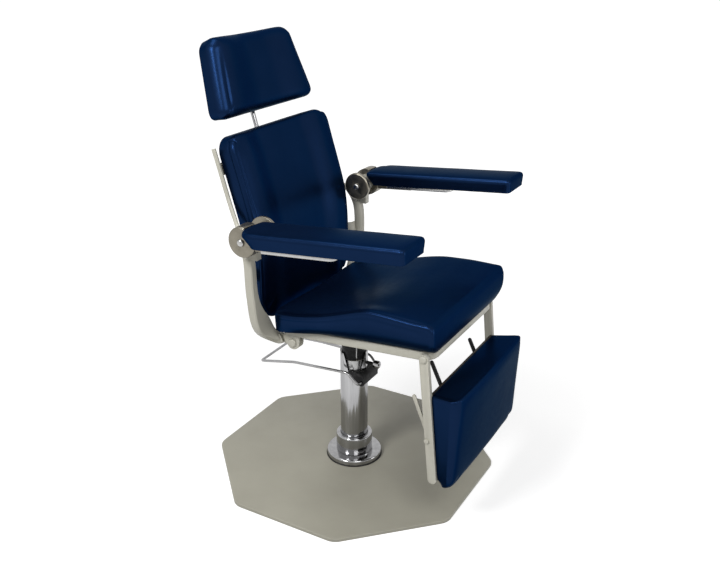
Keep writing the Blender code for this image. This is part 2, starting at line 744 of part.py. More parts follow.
def build_seat(axis, hub_low):
    """Hub, mounting plate, seat frame, board and cushion."""
    place = seat_frame_matrix()
    plate_top = -RAIL_H / 2 - GAP
    hub_top = (place @ Vector((0.0, 0.0, plate_top - MOUNT_T - GAP))).z
    inner = SPINDLE_R + GAP
    hub_bm = turned([(inner, hub_low), (HUB_R, hub_low), (HUB_R, hub_top), (inner, hub_top)], ROUND, True)
    for vert in hub_bm.verts:
        if vert.co.z == max(v.co.z for v in hub_bm.verts if v.co.xy == vert.co.xy):
            vert.co.z -= vert.co.y * math.tan(SEAT_TILT)
    hub = add("swivel_hub", hub_bm, "black", axis)
    slit = box((-2 * HUB_R, -HUB_SLIT / 2, hub_low - WELD), (0.0, HUB_SLIT / 2, hub_top + HUB_R))
    cut(hub, moved(slit, Matrix.Rotation(HUB_SLIT_TURN, 4, "Z")))

    corners = [(-MOUNT_X, MOUNT_FRONT), (MOUNT_X, MOUNT_FRONT), (MOUNT_X, MOUNT_REAR), (-MOUNT_X, MOUNT_REAR)]
    mount = rounded([(a, b, MOUNT_CORNER_R) for a, b in corners], 4)
    add("seat_mount_plate", moved(prism(mount, plate_top - MOUNT_T, plate_top), place), "black", axis)

    def loop(inset, height):
        front, rear = RAIL_FRONT + inset, RAIL_REAR - inset
        wide = RAIL_X - inset
        corners = [(-wide, front, RAIL_CORNER_R - inset), (wide, front, RAIL_CORNER_R - inset),
                   (wide, rear, RAIL_REAR_R - inset / 4), (-wide, rear, RAIL_REAR_R - inset / 4)]
        return [(a, b, height) for a, b in rounded(corners, 4)]

    bm = bmesh.new()
    half = RAIL_H / 2
    soft = RAIL_SOFT
    loops = [loop(0.0, -half + soft), loop(0.0, half - soft), loop(soft, half), loop(RAIL_W - soft, half),
             loop(RAIL_W, half - soft), loop(RAIL_W, -half + soft), loop(RAIL_W - soft, -half),
             loop(soft, -half)]
    rings = [[bm.verts.new(point) for point in ring] for ring in loops]
    for low, high in zip(rings, rings[1:] + rings[:1]):
        skin(bm, low, high)
    frame = add("seat_frame", moved(bm, place), "frame_paint", axis)
    reach = RAIL_X - RAIL_W + WELD
    for y in CROSS_BAR_Y:
        bar = box((-reach, y - CROSS_BAR_W / 2, -half + GAP),
                  (reach, y + CROSS_BAR_W / 2, -half + CROSS_BAR_T))
        weld(frame, moved(bar, place))
    pivot = place.inverted() @ Vector((0.0, RECLINE_Y, RECLINE_Z))
    ear = [(RAIL_REAR - 2 * GAP, -half + WELD), (pivot.y - CHEEK_R - WELD, -half + WELD)]
    ear += arc((pivot.y, pivot.z), CHEEK_R, 188, 312, 9)
    ear += [(RAIL_REAR - 2 * GAP, pivot.z + RECLINE_PIN_R)]
    outer = (RAIL_X - CHEEK_T, RAIL_X - GAP / 2)
    gap = CRANK_T + 2 * DISC_T + 4 * GAP
    inner = (outer[0] - gap - CHEEK_T, outer[0] - gap)
    for _, side in SIDES:
        for pair in (outer, inner):
            ends = sorted(side * x for x in pair)
            weld(frame, moved(prism(ear, *ends, "X"), place))
    cut(frame, x_cylinder(RECLINE_PIN_R + GAP, -2 * RAIL_X, 2 * RAIL_X, RECLINE_Y, RECLINE_Z))
    for _, side in SIDES:
        ends = sorted((side * (RAIL_X - 2 * RAIL_W), side * 2 * RAIL_X))
        cut(frame, x_cylinder(LEG_BOLT_R + GAP, *ends, LEG_Y, LEG_Z))

    board_low = -half + CROSS_BAR_T + GAP
    deck = [(a, b) for a, b, _ in loop(RAIL_W + 4 * GAP, 0.0)]
    add("seat_board", moved(prism(deck, board_low, board_low + BOARD_T), place), "ply", axis)

    middle = (SEAT_FRONT + SEAT_REAR) / 2
    length = (SEAT_REAR - SEAT_FRONT) / 2
    low = half + GAP

    def plan(u, v, w):
        radius = SEAT_CORNER_R if v < 0 else SEAT_REAR_R
        x, y = round_corner(u * SEAT_HALF, v * length, SEAT_HALF, length, radius)
        draw = SEAT_DRAW * (1.0 - w) ** DRAW_POWER * (1.0 - ease((v - DRAW_FADE) / (1.0 - DRAW_FADE)))
        return x * (1.0 - draw / SEAT_HALF), middle + y * (1.0 - draw / 3 / length)

    def rise(u, v, w):
        x, y = u * SEAT_HALF, middle + v * length
        height = SEAT_REAR_H + (SEAT_KNEE_H - SEAT_REAR_H) * ease((KNEE_FROM - y) / KNEE_RUN)
        height -= FRONT_DROP * ease((FRONT_FROM - y) / FRONT_RUN)
        height -= SEAT_DISH * math.exp(-(x / DISH_WIDE) ** 2 - ((y - DISH_Y) / DISH_LONG) ** 2)
        height -= roll_off(x, v * length, SEAT_HALF, length, SEAT_EDGE)
        return low + height * w

    add("seat_cushion", moved(cushion((18, 20, 4), plan, rise), place), "vinyl", axis)


def build_recline(axis, seat_axis):
    """Pins and friction discs of the recline pivots."""
    inner_disc = RAIL_X - CHEEK_T - GAP
    crank_out = inner_disc - DISC_T - GAP
    crank_in = crank_out - CRANK_T
    place = Matrix.Translation((0.0, RECLINE_Y, RECLINE_Z))
    for name, side in SIDES:
        turn = place @ Matrix.Scale(side, 4, (1.0, 0.0, 0.0)) @ TO_X
        inner = crank_in - 2 * GAP - DISC_T - CHEEK_T - GAP
        head = RAIL_X + GAP
        top = head + PIN_HEAD_T
        pin = [(0.0, inner - PIN_NUT_T), (PIN_NUT_R, inner - PIN_NUT_T),
               (PIN_NUT_R, inner), (RECLINE_PIN_R, inner),
               (RECLINE_PIN_R, head), (PIN_HEAD_R, head), (PIN_HEAD_R, top - PIN_BEVEL),
               (PIN_HEAD_R - PIN_BEVEL, top), (0.0, top)]
        add("recline_pin_" + name, moved(turned(pin, SMALL), turn), "steel", seat_axis)
        low = inner_disc - DISC_T
        hole = RECLINE_PIN_R + GAP
        disc = turned([(hole, low), (DISC_R, low), (DISC_R, inner_disc), (hole, inner_disc)], SMALL, True)
        add("recline_disc_" + name, moved(disc, turn), "liner", axis)
    return crank_in, crank_out


def spine_lean(s):
    """Lean of the spine: steep at its foot, then straight."""
    return SPINE_FOOT_LEAN + (BACK_LEAN - SPINE_FOOT_LEAN) * ease(s / SPINE_BEND)


def spine(s):
    """Place and lean of the back cushion's rear face, s up from its foot."""
    steps = 60
    y, z = SPINE_FOOT
    for i in range(steps):
        lean = spine_lean(s * (i + 0.5) / steps)
        y += math.sin(lean) * s / steps
        z += math.cos(lean) * s / steps
    return y, z, spine_lean(s)


def on_spine(x, s, out):
    """Point beside the spine, out counted rearwards from the cushion's rear face."""
    y, z, lean = spine(s)
    return Vector((x, y + out * math.cos(lean), z - out * math.sin(lean)))


def bar_section(wide, deep, soft=0.003):
    """Rectangle with small round corners."""
    return rounded([(-wide / 2, -deep / 2, soft), (wide / 2, -deep / 2, soft),
                    (wide / 2, deep / 2, soft), (-wide / 2, deep / 2, soft)], 1)


def build_back(axis, crank_in, crank_out):
    """Side frames with arm hubs, cross bars, board and cushion."""
    hub_in = ARM_CAP_X + ARM_CAP_T + GAP
    points = [Vector(point) for point in SIDE_PATH]
    points += [on_spine(BACK_BAR_X, s, BACK_BAR_SET) for s in SIDE_TOP_S]

    def section(t):
        slim = ease((t - SLIM_FROM) / SLIM_RUN)
        flare = FLARE_W * math.exp(-((t - FLARE_AT) / FLARE_RUN) ** 2)
        wide = TUBE_W + flare + (BACK_BAR_W - TUBE_W) * slim
        return bar_section(wide, TUBE_D + (BACK_BAR_D - TUBE_D) * slim)

    crank = arc((RECLINE_Y, RECLINE_Z), CRANK_R, 100, 280, 9) + list(CRANK_TAIL)
    for name, side in SIDES:
        flip = Matrix.Scale(side, 4, (1.0, 0.0, 0.0))
        tube = swept(smooth_path(points, 4), section)
        frame = add("back_side_" + name, moved(tube, flip), "frame_paint", axis)
        weld(frame, moved(prism(crank, crank_in, crank_out, "X"), flip))
        weld(frame, moved(x_cylinder(ARM_HUB_R, hub_in, hub_in + ARM_HUB_L, ARM_Y, ARM_Z, ROUND), flip))
        neck = box((SIDE_TUBE_X - NECK_W / 2, ARM_Y - NECK_IN, ARM_Z - NECK_DROP),
                   (SIDE_TUBE_X + NECK_W / 2, ARM_Y + NECK_OUT, ARM_Z - NECK_IN))
        weld(frame, moved(neck, flip))
        cut(frame, moved(x_cylinder(RECLINE_PIN_R + GAP, 0.0, RAIL_X, RECLINE_Y, RECLINE_Z), flip))
        cut(frame, moved(x_cylinder(ARM_BOLT_R + GAP, ARM_CAP_X, 2 * ARM_CAP_X, ARM_Y, ARM_Z), flip))

    set_back = BACK_BOARD_T + 2 * GAP + BACK_CROSS_T / 2
    wide = BACK_BAR_X - BACK_BAR_W / 2 - GAP
    y, z, lean = spine(UPPER_CROSS_S)
    turn = Matrix.Translation((0.0, y, z)) @ Matrix.Rotation(-lean, 4, "X")
    flat = box((-wide, set_back - BACK_CROSS_T / 2, -BACK_CROSS_H / 2),
               (wide, set_back + BACK_CROSS_T / 2, BACK_CROSS_H / 2))
    add("back_cross_upper", moved(flat, turn), "frame_paint", axis)

    lean = spine_lean(LOWER_CROSS_S)
    rear = on_spine(0.0, LOWER_CROSS_S, set_back + GAP)
    end = SIDE_TUBE_X - TUBE_W / 2 - GAP
    tab_y = rear.y - STRAP_STEP
    half = [Vector((end, tab_y, rear.z)), Vector((STRAP_TAB_X, tab_y, rear.z)),
            Vector((STRAP_BACK_X, rear.y, rear.z))]
    path = half + [Vector((-p.x, p.y, p.z)) for p in half[::-1]]
    strap = swept(bent(path, STRAP_BEND_R, 2), lambda t: bar_section(BACK_CROSS_H, BACK_CROSS_T, 0.001),
                  Vector((0.0, math.sin(lean), math.cos(lean))))
    add("back_cross_lower", strap, "frame_paint", axis)

    def board_plan(u, v, w):
        half_s = SPINE_L / 2 - BACK_BOARD_ENDS
        half_x = BACK_HALF - BACK_BOARD_IN
        x, s = round_corner(u * half_x, v * half_s, half_x, half_s, BACK_BOARD_R)
        return x, s + SPINE_L / 2

    def along_spine(bm):
        for vert in bm.verts:
            vert.co = on_spine(vert.co.x, vert.co.y, vert.co.z)
        return bm

    deck = cushion((6, 16, 1), board_plan, lambda u, v, w: GAP + BACK_BOARD_T * w)
    add("back_board", along_spine(deck), "ply", axis)

    def plan(u, v, w):
        radius = BACK_FOOT_R if v < 0 else BACK_CORNER_R
        x, s = round_corner(u * BACK_HALF, v * SPINE_L / 2, BACK_HALF, SPINE_L / 2, radius)
        draw = BACK_DRAW * (1.0 - w)
        return x * (1.0 - draw / BACK_HALF), s * (1.0 - draw / SPINE_L * 2) + SPINE_L / 2

    def rise(u, v, w):
        x, s = u * BACK_HALF, v * SPINE_L / 2
        thick = BACK_T + BACK_BOLSTER * ease((abs(x) - BOLSTER_FROM) / BOLSTER_RUN)
        thick -= roll_off(x, s, BACK_HALF, SPINE_L / 2, BACK_EDGE)
        share = BACK_FOOT_SHARE + (1.0 - BACK_FOOT_SHARE) * ease((s + SPINE_L / 2) / BACK_TAPER)
        return -thick * share * w

    add("back_cushion", along_spine(cushion((18, 20, 3), plan, rise)), "vinyl", axis)


def build_arm(name, side, axis, back_axis):
    """Pivot cap and bolt on the back; drum, plate and pad of one arm rest."""
    flip = Matrix.Scale(side, 4, (1.0, 0.0, 0.0))
    on_x = flip @ Matrix.Translation((0.0, ARM_Y, ARM_Z)) @ TO_X
    hole = ARM_BOLT_R + GAP
    soft = ARM_BEVEL
    low, high = ARM_CAP_X, ARM_CAP_X + ARM_CAP_T
    cap = [(hole, low), (ARM_DISC_R - soft, low), (ARM_DISC_R, low + soft), (ARM_DISC_R, high), (hole, high)]
    add("arm_hub_cap_" + name, moved(turned(cap, ROUND, True), on_x), "nickel", back_axis)
    drum_low = high + 2 * GAP + ARM_HUB_L + GAP
    drum_high = drum_low + ARM_DRUM_L
    inner, outer = low - GAP, drum_high + GAP
    ends = (inner - ARM_HEAD_T, outer + ARM_HEAD_T)
    crown = ARM_HEAD_R - soft
    bolt = [(0.0, ends[0]), (crown, ends[0]), (ARM_HEAD_R, ends[0] + soft), (ARM_HEAD_R, inner),
            (ARM_BOLT_R, inner), (ARM_BOLT_R, outer), (ARM_HEAD_R, outer), (ARM_HEAD_R, ends[1] - soft),
            (crown, ends[1]), (0.0, ends[1])]
    add("arm_pivot_bolt_" + name, moved(turned(bolt, SMALL), on_x), "steel", back_axis)

    drum = [(hole, drum_low), (ARM_DISC_R, drum_low), (ARM_DISC_R, drum_high - soft),
            (ARM_DISC_R - soft, drum_high), (hole, drum_high)]
    body = add("arm_drum_" + name, moved(turned(drum, ROUND, True), on_x), "nickel", axis)
    place = flip @ Matrix.Translation((0.0, ARM_Y, ARM_Z)) @ Matrix.Rotation(-ARM_PITCH, 4, "X")
    plate_top = PAD_LOW - GAP
    plate_low = plate_top - ARM_PLATE_T
    middle = (drum_low + drum_high) / 2
    tongue = box((middle - TONGUE_W / 2, -ARM_DISC_R - TONGUE_L, plate_low - GAP - TONGUE_T),
                 (middle + TONGUE_W / 2, -ARM_DISC_R + 5 * WELD, plate_low - GAP))
    weld(body, moved(tongue, place))
    low, high = PAD_LOW - GAP, PAD_LOW + PAD_T + GAP
    heel = PAD_REAR - PAD_RAKE
    seat = [(-2 * ARM_DISC_R, low), (heel + 2 * GAP, low), (PAD_REAR + 2 * GAP, high - PAD_EDGE - PAD_CROWN),
            (PAD_REAR + 2 * GAP, high), (-2 * ARM_DISC_R, high)]
    cut(body, moved(prism(seat, drum_low - WELD, drum_high + WELD, "X"), place))

    near, far = PAD_X[0] + ARM_PLATE_IN, PAD_X[1] - ARM_PLATE_IN
    plate = rounded([(near, ARM_PLATE_FRONT, ARM_PLATE_R), (far, ARM_PLATE_FRONT, ARM_PLATE_R),
                     (far, ARM_PLATE_REAR, ARM_PLATE_R / 4), (near, ARM_PLATE_REAR, ARM_PLATE_R / 4)], 4)
    add("arm_plate_" + name, moved(prism(plate, plate_low, plate_top), place), "steel", axis)

    half = (PAD_X[1] - PAD_X[0]) / 2
    length = (PAD_REAR - PAD_FRONT) / 2

    def plan(u, v, w):
        heel = u > 0.0 and v > 0.0
        x, y = round_corner(u * half, v * length, half, length, PAD_HEEL_R if heel else PAD_CORNER_R)
        draw = PAD_DRAW * (1.0 - w)
        y = y * (1.0 - draw / length) - PAD_RAKE * (1.0 - w) * ease(2 * v - 1)
        return PAD_X[0] + half + x * (1.0 - draw / half), PAD_FRONT + length + y

    def rise(u, v, w):
        fall = roll_off(u * half, v * length, half, length, PAD_EDGE)
        return PAD_LOW + (PAD_T - PAD_CROWN * u * u - fall) * w

    add("arm_pad_" + name, moved(cushion((8, 14, 3), plan, rise), place), "vinyl", axis)


def rod_matrix():
    """From the head rest rod's leaning frame to the chair's."""
    foot = on_spine(0.0, SPINE_L + ROD_ABOVE, ROD_BEHIND)
    return Matrix.Translation(foot) @ Matrix.Rotation(-BACK_LEAN, 4, "X")


def build_headrest(back_axis, slide_axis, tilt_axis, knob_axis):
    """Clamp, knob, rod, hinge block, back plate and cushion."""
    place = rod_matrix()
    y, z, _ = spine(UPPER_CROSS_S)
    cross_rear = (place.inverted() @ Vector((0.0, y, z))).y + BACK_BOARD_T + 2 * GAP + BACK_CROSS_T
    flange = cross_rear + GAP
    step = flange + CLAMP_FOOT_T
    outline = [(-CLAMP_X, flange), (CLAMP_X, flange), (CLAMP_X, step), (CLAMP_R + WELD, step)]
    outline += arc((0.0, 0.0), CLAMP_R, -20, 200, 16)
    outline += [(-CLAMP_R - WELD, step), (-CLAMP_X, step)]
    body = moved(prism(outline, CLAMP_LOW, CLAMP_LOW + CLAMP_H), place)
    clamp = add("headrest_clamp", body, "black", back_axis)
    cut(clamp, moved(cylinder(ROD_R + GAP, 2 * CLAMP_LOW, 0.0, SMALL), place))

    turn = place @ Matrix.Translation((0.0, 0.0, CLAMP_LOW + CLAMP_H / 2))
    turn = turn @ Matrix.Rotation(-math.pi / 2, 4, "X")
    low = CLAMP_R + GAP
    start = low + HEAD_STEM_L
    end = start + HEAD_KNOB_L
    rim = HEAD_KNOB_R - HEAD_KNOB_EDGE
    knob = [(0.0, low), (HEAD_STEM_R, low), (HEAD_STEM_R, start), (rim, start),
            (HEAD_KNOB_R, start + HEAD_KNOB_EDGE),
            (HEAD_KNOB_R, end - HEAD_KNOB_EDGE), (rim, end), (0.0, end)]
    add("headrest_knob", moved(turned(knob, 24), turn), "black", knob_axis)

    rod_top = HEAD_AXIS - BLOCK_H / 3
    profile = [(0.0, ROD_LOW), (ROD_R - WELD, ROD_LOW), (ROD_R, ROD_LOW + WELD),
               (ROD_R, rod_top), (0.0, rod_top)]
    add("headrest_rod", moved(turned(profile, SMALL), place), "chrome", slide_axis)
    block = box((-BLOCK_X, -BLOCK_Y, HEAD_AXIS - BLOCK_H), (BLOCK_X, BLOCK_Y, HEAD_AXIS + BLOCK_H))
    block_object = add("headrest_block", moved(block, place), "steel", slide_axis)
    lug_in = BLOCK_X + 2 * GAP
    lug_out = lug_in + LUG_T
    reach = lug_out + TRUNNION_OUT
    trunnion = moved(cylinder(TRUNNION_R, -reach, reach, SMALL), TO_X)
    weld(block_object, moved(trunnion, place @ Matrix.Translation((0.0, 0.0, HEAD_AXIS))))
    cut(block_object, moved(cylinder(ROD_R + GAP, 0.0, rod_top + GAP, SMALL), place))

    front = HEAD_REAR + GAP
    rear = front + HEAD_PLATE_T
    low, high = HEAD_AXIS + HEAD_PLATE_LOW, HEAD_AXIS + HEAD_PLATE_HIGH
    corners = [(-HEAD_PLATE_X, low), (HEAD_PLATE_X, low), (HEAD_PLATE_X, high), (-HEAD_PLATE_X, high)]
    panel = rounded([(a, b, HEAD_PLATE_R) for a, b in corners], 3)
    plate = add("headrest_plate", moved(prism(panel, front, rear, "Y"), place), "steel", tilt_axis)
    lug = arc((0.0, HEAD_AXIS), LUG_R, -90, 90, 8)
    lug += [(rear - WELD, HEAD_AXIS + LUG_FOOT), (rear - WELD, HEAD_AXIS - LUG_FOOT)]
    for _, side in SIDES:
        ends = sorted((side * lug_in, side * lug_out))
        weld(plate, moved(prism(lug, *ends, "X"), place))
    hole = moved(cylinder(TRUNNION_R + GAP, -2 * lug_out, 2 * lug_out, SMALL), TO_X)
    cut(plate, moved(hole, place @ Matrix.Translation((0.0, 0.0, HEAD_AXIS))))

    middle = (HEAD_LOW + HEAD_HIGH) / 2
    length = (HEAD_HIGH - HEAD_LOW) / 2

    def half_at(v):
        return HEAD_HALF_LOW + (HEAD_HALF_HIGH - HEAD_HALF_LOW) * (v + 1.0) / 2

    def plan(u, v, w):
        half = half_at(v)
        radius = HEAD_FOOT_R if v < 0 else HEAD_CORNER_R
        x, up = round_corner(u * half, v * length, half, length, radius)
        draw = HEAD_DRAW * (1.0 - w)
        return x * (1.0 - draw / half), up * (1.0 - draw / length) + middle

    def rise(u, v, w):
        half = half_at(v)
        thick = HEAD_T + HEAD_BOLSTER * ease((abs(u) - HEAD_BOLSTER_FROM) / HEAD_BOLSTER_RUN)
        thick -= roll_off(u * half, v * length, half, length, HEAD_EDGE)
        return HEAD_REAR - thick * w

    bm = cushion((16, 12, 3), plan, rise)
    for vert in bm.verts:
        vert.co = place @ Vector((vert.co.x, vert.co.z, vert.co.y))
    add("headrest_cushion", bm, "vinyl", tilt_axis)


def leg_matrix():
    """From the leg rest's leaning frame to the chair's."""
    return Matrix.Translation((0.0, LEG_Y, LEG_Z)) @ Matrix.Rotation(-LEG_LEAN, 4, "X")


def build_legrest(axis, seat_axis):
    """Side bars on their bolts, cross bars, board, pad and tie rods."""
    place = leg_matrix()
    inner = RAIL_X + LEG_BAR_GAP
    outer = inner + LEG_BAR_T
    half = LEG_BAR_W / 2
    strip = arc((0.0, 0.0), half, 0, 180, 10)
    strip += [(a, b - LEG_BAR_L + half) for a, b in arc((0.0, 0.0), half, 180, 360, 10)]
    for name, side in SIDES:
        ends = sorted((side * inner, side * outer))
        bar = add("legrest_bar_" + name, moved(prism(strip, *ends, "X"), place), "frame_paint", axis)
        reach = sorted((side * (inner - WELD), side * (outer + WELD)))
        cut(bar, x_cylinder(LEG_BOLT_R + GAP, *reach, LEG_Y, LEG_Z))
        if side < 0:
            cut(bar, moved(x_cylinder(LEVER_BOLT_R + GAP, *reach, LEVER_Y, LEVER_Z), place))
        head = outer + GAP
        shank = RAIL_X - RAIL_W + GAP
        top = head + LEG_HEAD_T
        bolt = [(0.0, shank), (LEG_BOLT_R, shank), (LEG_BOLT_R, head), (LEG_HEAD_R, head),
                (LEG_HEAD_R, top - LEG_HEAD_BEVEL), (LEG_HEAD_R - LEG_HEAD_BEVEL, top), (0.0, top)]
        turn = Matrix.Translation((0.0, LEG_Y, LEG_Z)) @ Matrix.Scale(side, 4, (1.0, 0.0, 0.0)) @ TO_X
        add("legrest_bolt_" + name, moved(turned(bolt, SMALL), turn), "steel", seat_axis)

    wide = inner - GAP
    board_rear = LEG_REAR + 2 * GAP + LEG_BOARD_T
    cross_front = board_rear + GAP
    cross_rear = cross_front + LEG_CROSS_T
    for name, z in zip(("upper", "lower"), LEG_CROSS_Z):
        bar = box((-wide, cross_front, z - LEG_CROSS_H / 2), (wide, cross_rear, z + LEG_CROSS_H / 2))
        add("legrest_cross_" + name, moved(bar, place), "frame_paint", axis)
    edge = wide - LEG_BOARD_IN
    deck = box((-edge, board_rear - LEG_BOARD_T, LEG_PAD_LOW + LEG_BOARD_ENDS[0]),
               (edge, board_rear, LEG_PAD_TOP - LEG_BOARD_ENDS[1]))
    add("legrest_board", moved(deck, place), "ply", axis)

    middle = (LEG_PAD_TOP + LEG_PAD_LOW) / 2
    length = (LEG_PAD_TOP - LEG_PAD_LOW) / 2

    def plan(u, v, w):
        radius = LEG_CORNER_R if v < 0 else LEG_TOP_R
        x, up = round_corner(u * LEG_PAD_HALF, v * length, LEG_PAD_HALF, length, radius)
        draw = LEG_PAD_DRAW * (1.0 - w)
        return x * (1.0 - draw / LEG_PAD_HALF), up * (1.0 - draw / 4 / length) + middle

    def rise(u, v, w):
        thick = LEG_PAD_THIN + (LEG_PAD_THICK - LEG_PAD_THIN) * (v + 1.0) / 2
        thick += LEG_PAD_CROWN * (1.0 - u * u)
        thick -= roll_off(u * LEG_PAD_HALF, v * length, LEG_PAD_HALF, length, LEG_EDGE)
        thick -= LEG_TOE_DROP * ease((-v - LEG_TOE_FROM) / (1.0 - LEG_TOE_FROM))
        return LEG_REAR - thick * w

    bm = cushion((14, 14, 3), plan, rise)
    for vert in bm.verts:
        vert.co = place @ Vector((vert.co.x, vert.co.z, vert.co.y))
    add("legrest_pad", bm, "vinyl", axis)

    behind = cross_rear + GAP + TIE_ROD_R
    for (name, side), rise_to in zip(SIDES, TIE_ROD_TOP):
        x = side * TIE_ROD_X
        lean = (rise_to - TIE_ROD_BEND) * TIE_ROD_LEAN
        path = bent([Vector((x, behind, TIE_ROD_FOOT)), Vector((x, behind, TIE_ROD_BEND)),
                     Vector((x, behind + lean, rise_to))], TIE_ROD_BEND_R, 3)
        made = rod([place @ p for p in path], TIE_ROD_R, 10, TIE_ROD_R)
        add("legrest_tie_rod_" + name, made, "black", axis)


def band_outline(places, radius):
    """Round-ended band along a flat path."""
    left, right = [], []
    last = len(places) - 1
    for i, here in enumerate(places):
        along = (places[min(i + 1, last)] - places[max(i - 1, 0)]).normalized()
        across = Vector((-along.y, along.x)) * radius
        left.append(here + across)
        right.append(here - across)
    outline = []
    for side, tip in ((left, places[-1]), (right[::-1], places[0])):
        outline += [tuple(p) for p in side]
        first = side[-1] - tip
        for k in range(1, 6):
            spun = first.copy()
            spun.rotate(Matrix.Rotation(-math.pi * k / 6, 2))
            outline.append(tuple(tip + spun))
    return outline


def build_lever(axis, leg_axis):
    """Flat release lever and the bolt it swings on."""
    foot = (leg_matrix() @ Vector((0.0, LEVER_Y, LEVER_Z))).yz
    tip = Vector((LEVER_TIP_Y, LEVER_TIP_Z))
    outer = RAIL_X + LEG_BAR_GAP - 2 * GAP
    inner = outer - LEVER_T
    strip = band_outline([foot, foot.lerp(tip, 0.5), tip], LEVER_W / 2)
    lever = add("release_lever", prism(strip, -outer, -inner, "X"), "frame_paint", axis)
    cut(lever, x_cylinder(LEVER_BOLT_R + GAP, -2 * outer, 0.0, *foot))
    nut = inner - GAP
    head = RAIL_X + LEG_BAR_GAP + LEG_BAR_T + GAP
    ends = (nut - LEVER_HEAD_T, head + LEVER_HEAD_T)
    crown = LEVER_HEAD_R - LEVER_BEVEL
    bolt = [(0.0, ends[0]), (crown, ends[0]), (LEVER_HEAD_R, ends[0] + LEVER_BEVEL), (LEVER_HEAD_R, nut),
            (LEVER_BOLT_R, nut), (LEVER_BOLT_R, head), (LEVER_HEAD_R, head),
            (LEVER_HEAD_R, ends[1] - LEVER_BEVEL),
            (crown, ends[1]), (0.0, ends[1])]
    turn = Matrix.Translation((0.0, *foot)) @ Matrix.Scale(-1.0, 4, (1.0, 0.0, 0.0)) @ TO_X
    add("release_bolt", moved(turned(bolt, SMALL), turn), "steel", leg_axis)


for old in list(bpy.data.objects):
    bpy.data.objects.remove(old)

AXIS_POINTS = {}
lever_foot = leg_matrix() @ Vector((0.0, LEVER_Y, LEVER_Z))
knob_point = rod_matrix() @ Vector((0.0, CLAMP_R, CLAMP_LOW + CLAMP_H / 2))
bail_joint = empty("bail_axis", (0.0, BAIL_Y, BAIL_Z))
lock_joint = empty("lock_axis", (0.0, 0.0, LOCK_Z))
lift_joint = empty("lift_axis", (0.0, 0.0, RAM_FOOT))
swivel_joint = empty("swivel_axis", (0.0, 0.0, TUBE_TOP), lift_joint)
recline_joint = empty("recline_axis", (0.0, RECLINE_Y, RECLINE_Z), swivel_joint)
legrest_joint = empty("legrest_axis", (0.0, LEG_Y, LEG_Z), swivel_joint)
lever_joint = empty("lever_axis", lever_foot, legrest_joint)
slide_joint = empty("headrest_slide", rod_matrix().translation, recline_joint)
tilt_joint = empty("headrest_tilt", rod_matrix() @ Vector((0.0, 0.0, HEAD_AXIS)), slide_joint)
knob_joint = empty("headrest_knob_axis", knob_point, recline_joint)

build_base()
build_levers(bail_joint, lock_joint)
hub_start = build_ram(lift_joint)
build_seat(swivel_joint, hub_start)
crank_near, crank_far = build_recline(recline_joint, swivel_joint)
build_back(recline_joint, crank_near, crank_far)
for side_name, side_sign in SIDES:
    arm_joint = empty("arm_axis_" + side_name, (side_sign * ARM_CAP_X, ARM_Y, ARM_Z), recline_joint)
    build_arm(side_name, side_sign, arm_joint, recline_joint)
build_headrest(recline_joint, slide_joint, tilt_joint, knob_joint)
build_legrest(legrest_joint, swivel_joint)
build_lever(lever_joint, legrest_joint)
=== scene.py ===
"""Looks of the ear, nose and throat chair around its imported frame."""
import itertools
import json
import math

import bmesh
import bpy
import numpy as np
from mathutils import Matrix, Vector, noise


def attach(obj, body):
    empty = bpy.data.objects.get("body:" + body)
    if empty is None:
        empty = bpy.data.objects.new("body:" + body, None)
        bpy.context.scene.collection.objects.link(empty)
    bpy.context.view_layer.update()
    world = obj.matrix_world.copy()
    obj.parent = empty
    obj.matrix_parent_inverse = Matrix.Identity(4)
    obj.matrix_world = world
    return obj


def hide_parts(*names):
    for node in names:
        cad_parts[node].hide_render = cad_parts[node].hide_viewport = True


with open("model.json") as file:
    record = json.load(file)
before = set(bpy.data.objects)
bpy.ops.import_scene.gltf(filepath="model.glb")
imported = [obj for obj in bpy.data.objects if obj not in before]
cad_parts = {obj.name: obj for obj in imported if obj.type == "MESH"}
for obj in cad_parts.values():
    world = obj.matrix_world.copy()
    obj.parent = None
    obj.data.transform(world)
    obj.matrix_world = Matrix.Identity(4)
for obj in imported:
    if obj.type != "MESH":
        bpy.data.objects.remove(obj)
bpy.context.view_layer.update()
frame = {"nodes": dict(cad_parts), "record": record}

# Camera of the photograph, solved from the floor plate and the mirrored pieces
CAMERA_PLACE = (-1.9322, -1.1278, 1.4852)
CAMERA_TURN = (67.273, 0.0, -60.166)
CAMERA_LENS = 43.716
CAMERA_SENSOR = 36.0

# Lamps as name, place, width, height and power, all aimed at the seat
LAMP_AIM = (0.0, 0.0, 0.6)
LAMPS = (
    ("key", (-2.4, 0.5, 2.6), 0.8, 0.8, 54.0),
    ("fill", (-1.5, -1.7, 2.5), 1.4, 1.4, 29.0),
    ("top", (-0.3, 0.9, 3.0), 1.4, 0.8, 18.0),
    ("front", (0.9, -2.8, 0.7), 0.8, 1.2, 12.0),
)

# Surroundings: the world's light, what the camera and gloss see of it, and the floor
WORLD_LIGHT = 0.20
WORLD_SEEN = 1.0
FLOOR_HALF = 60.0
FLOOR_GREY = 0.60
FLOOR_ROUGH = 0.9
GLOW_NEAR = 0.66
GLOW_FAR = 0.96
GLOW_FROM = 0.6
GLOW_TO = 2.4

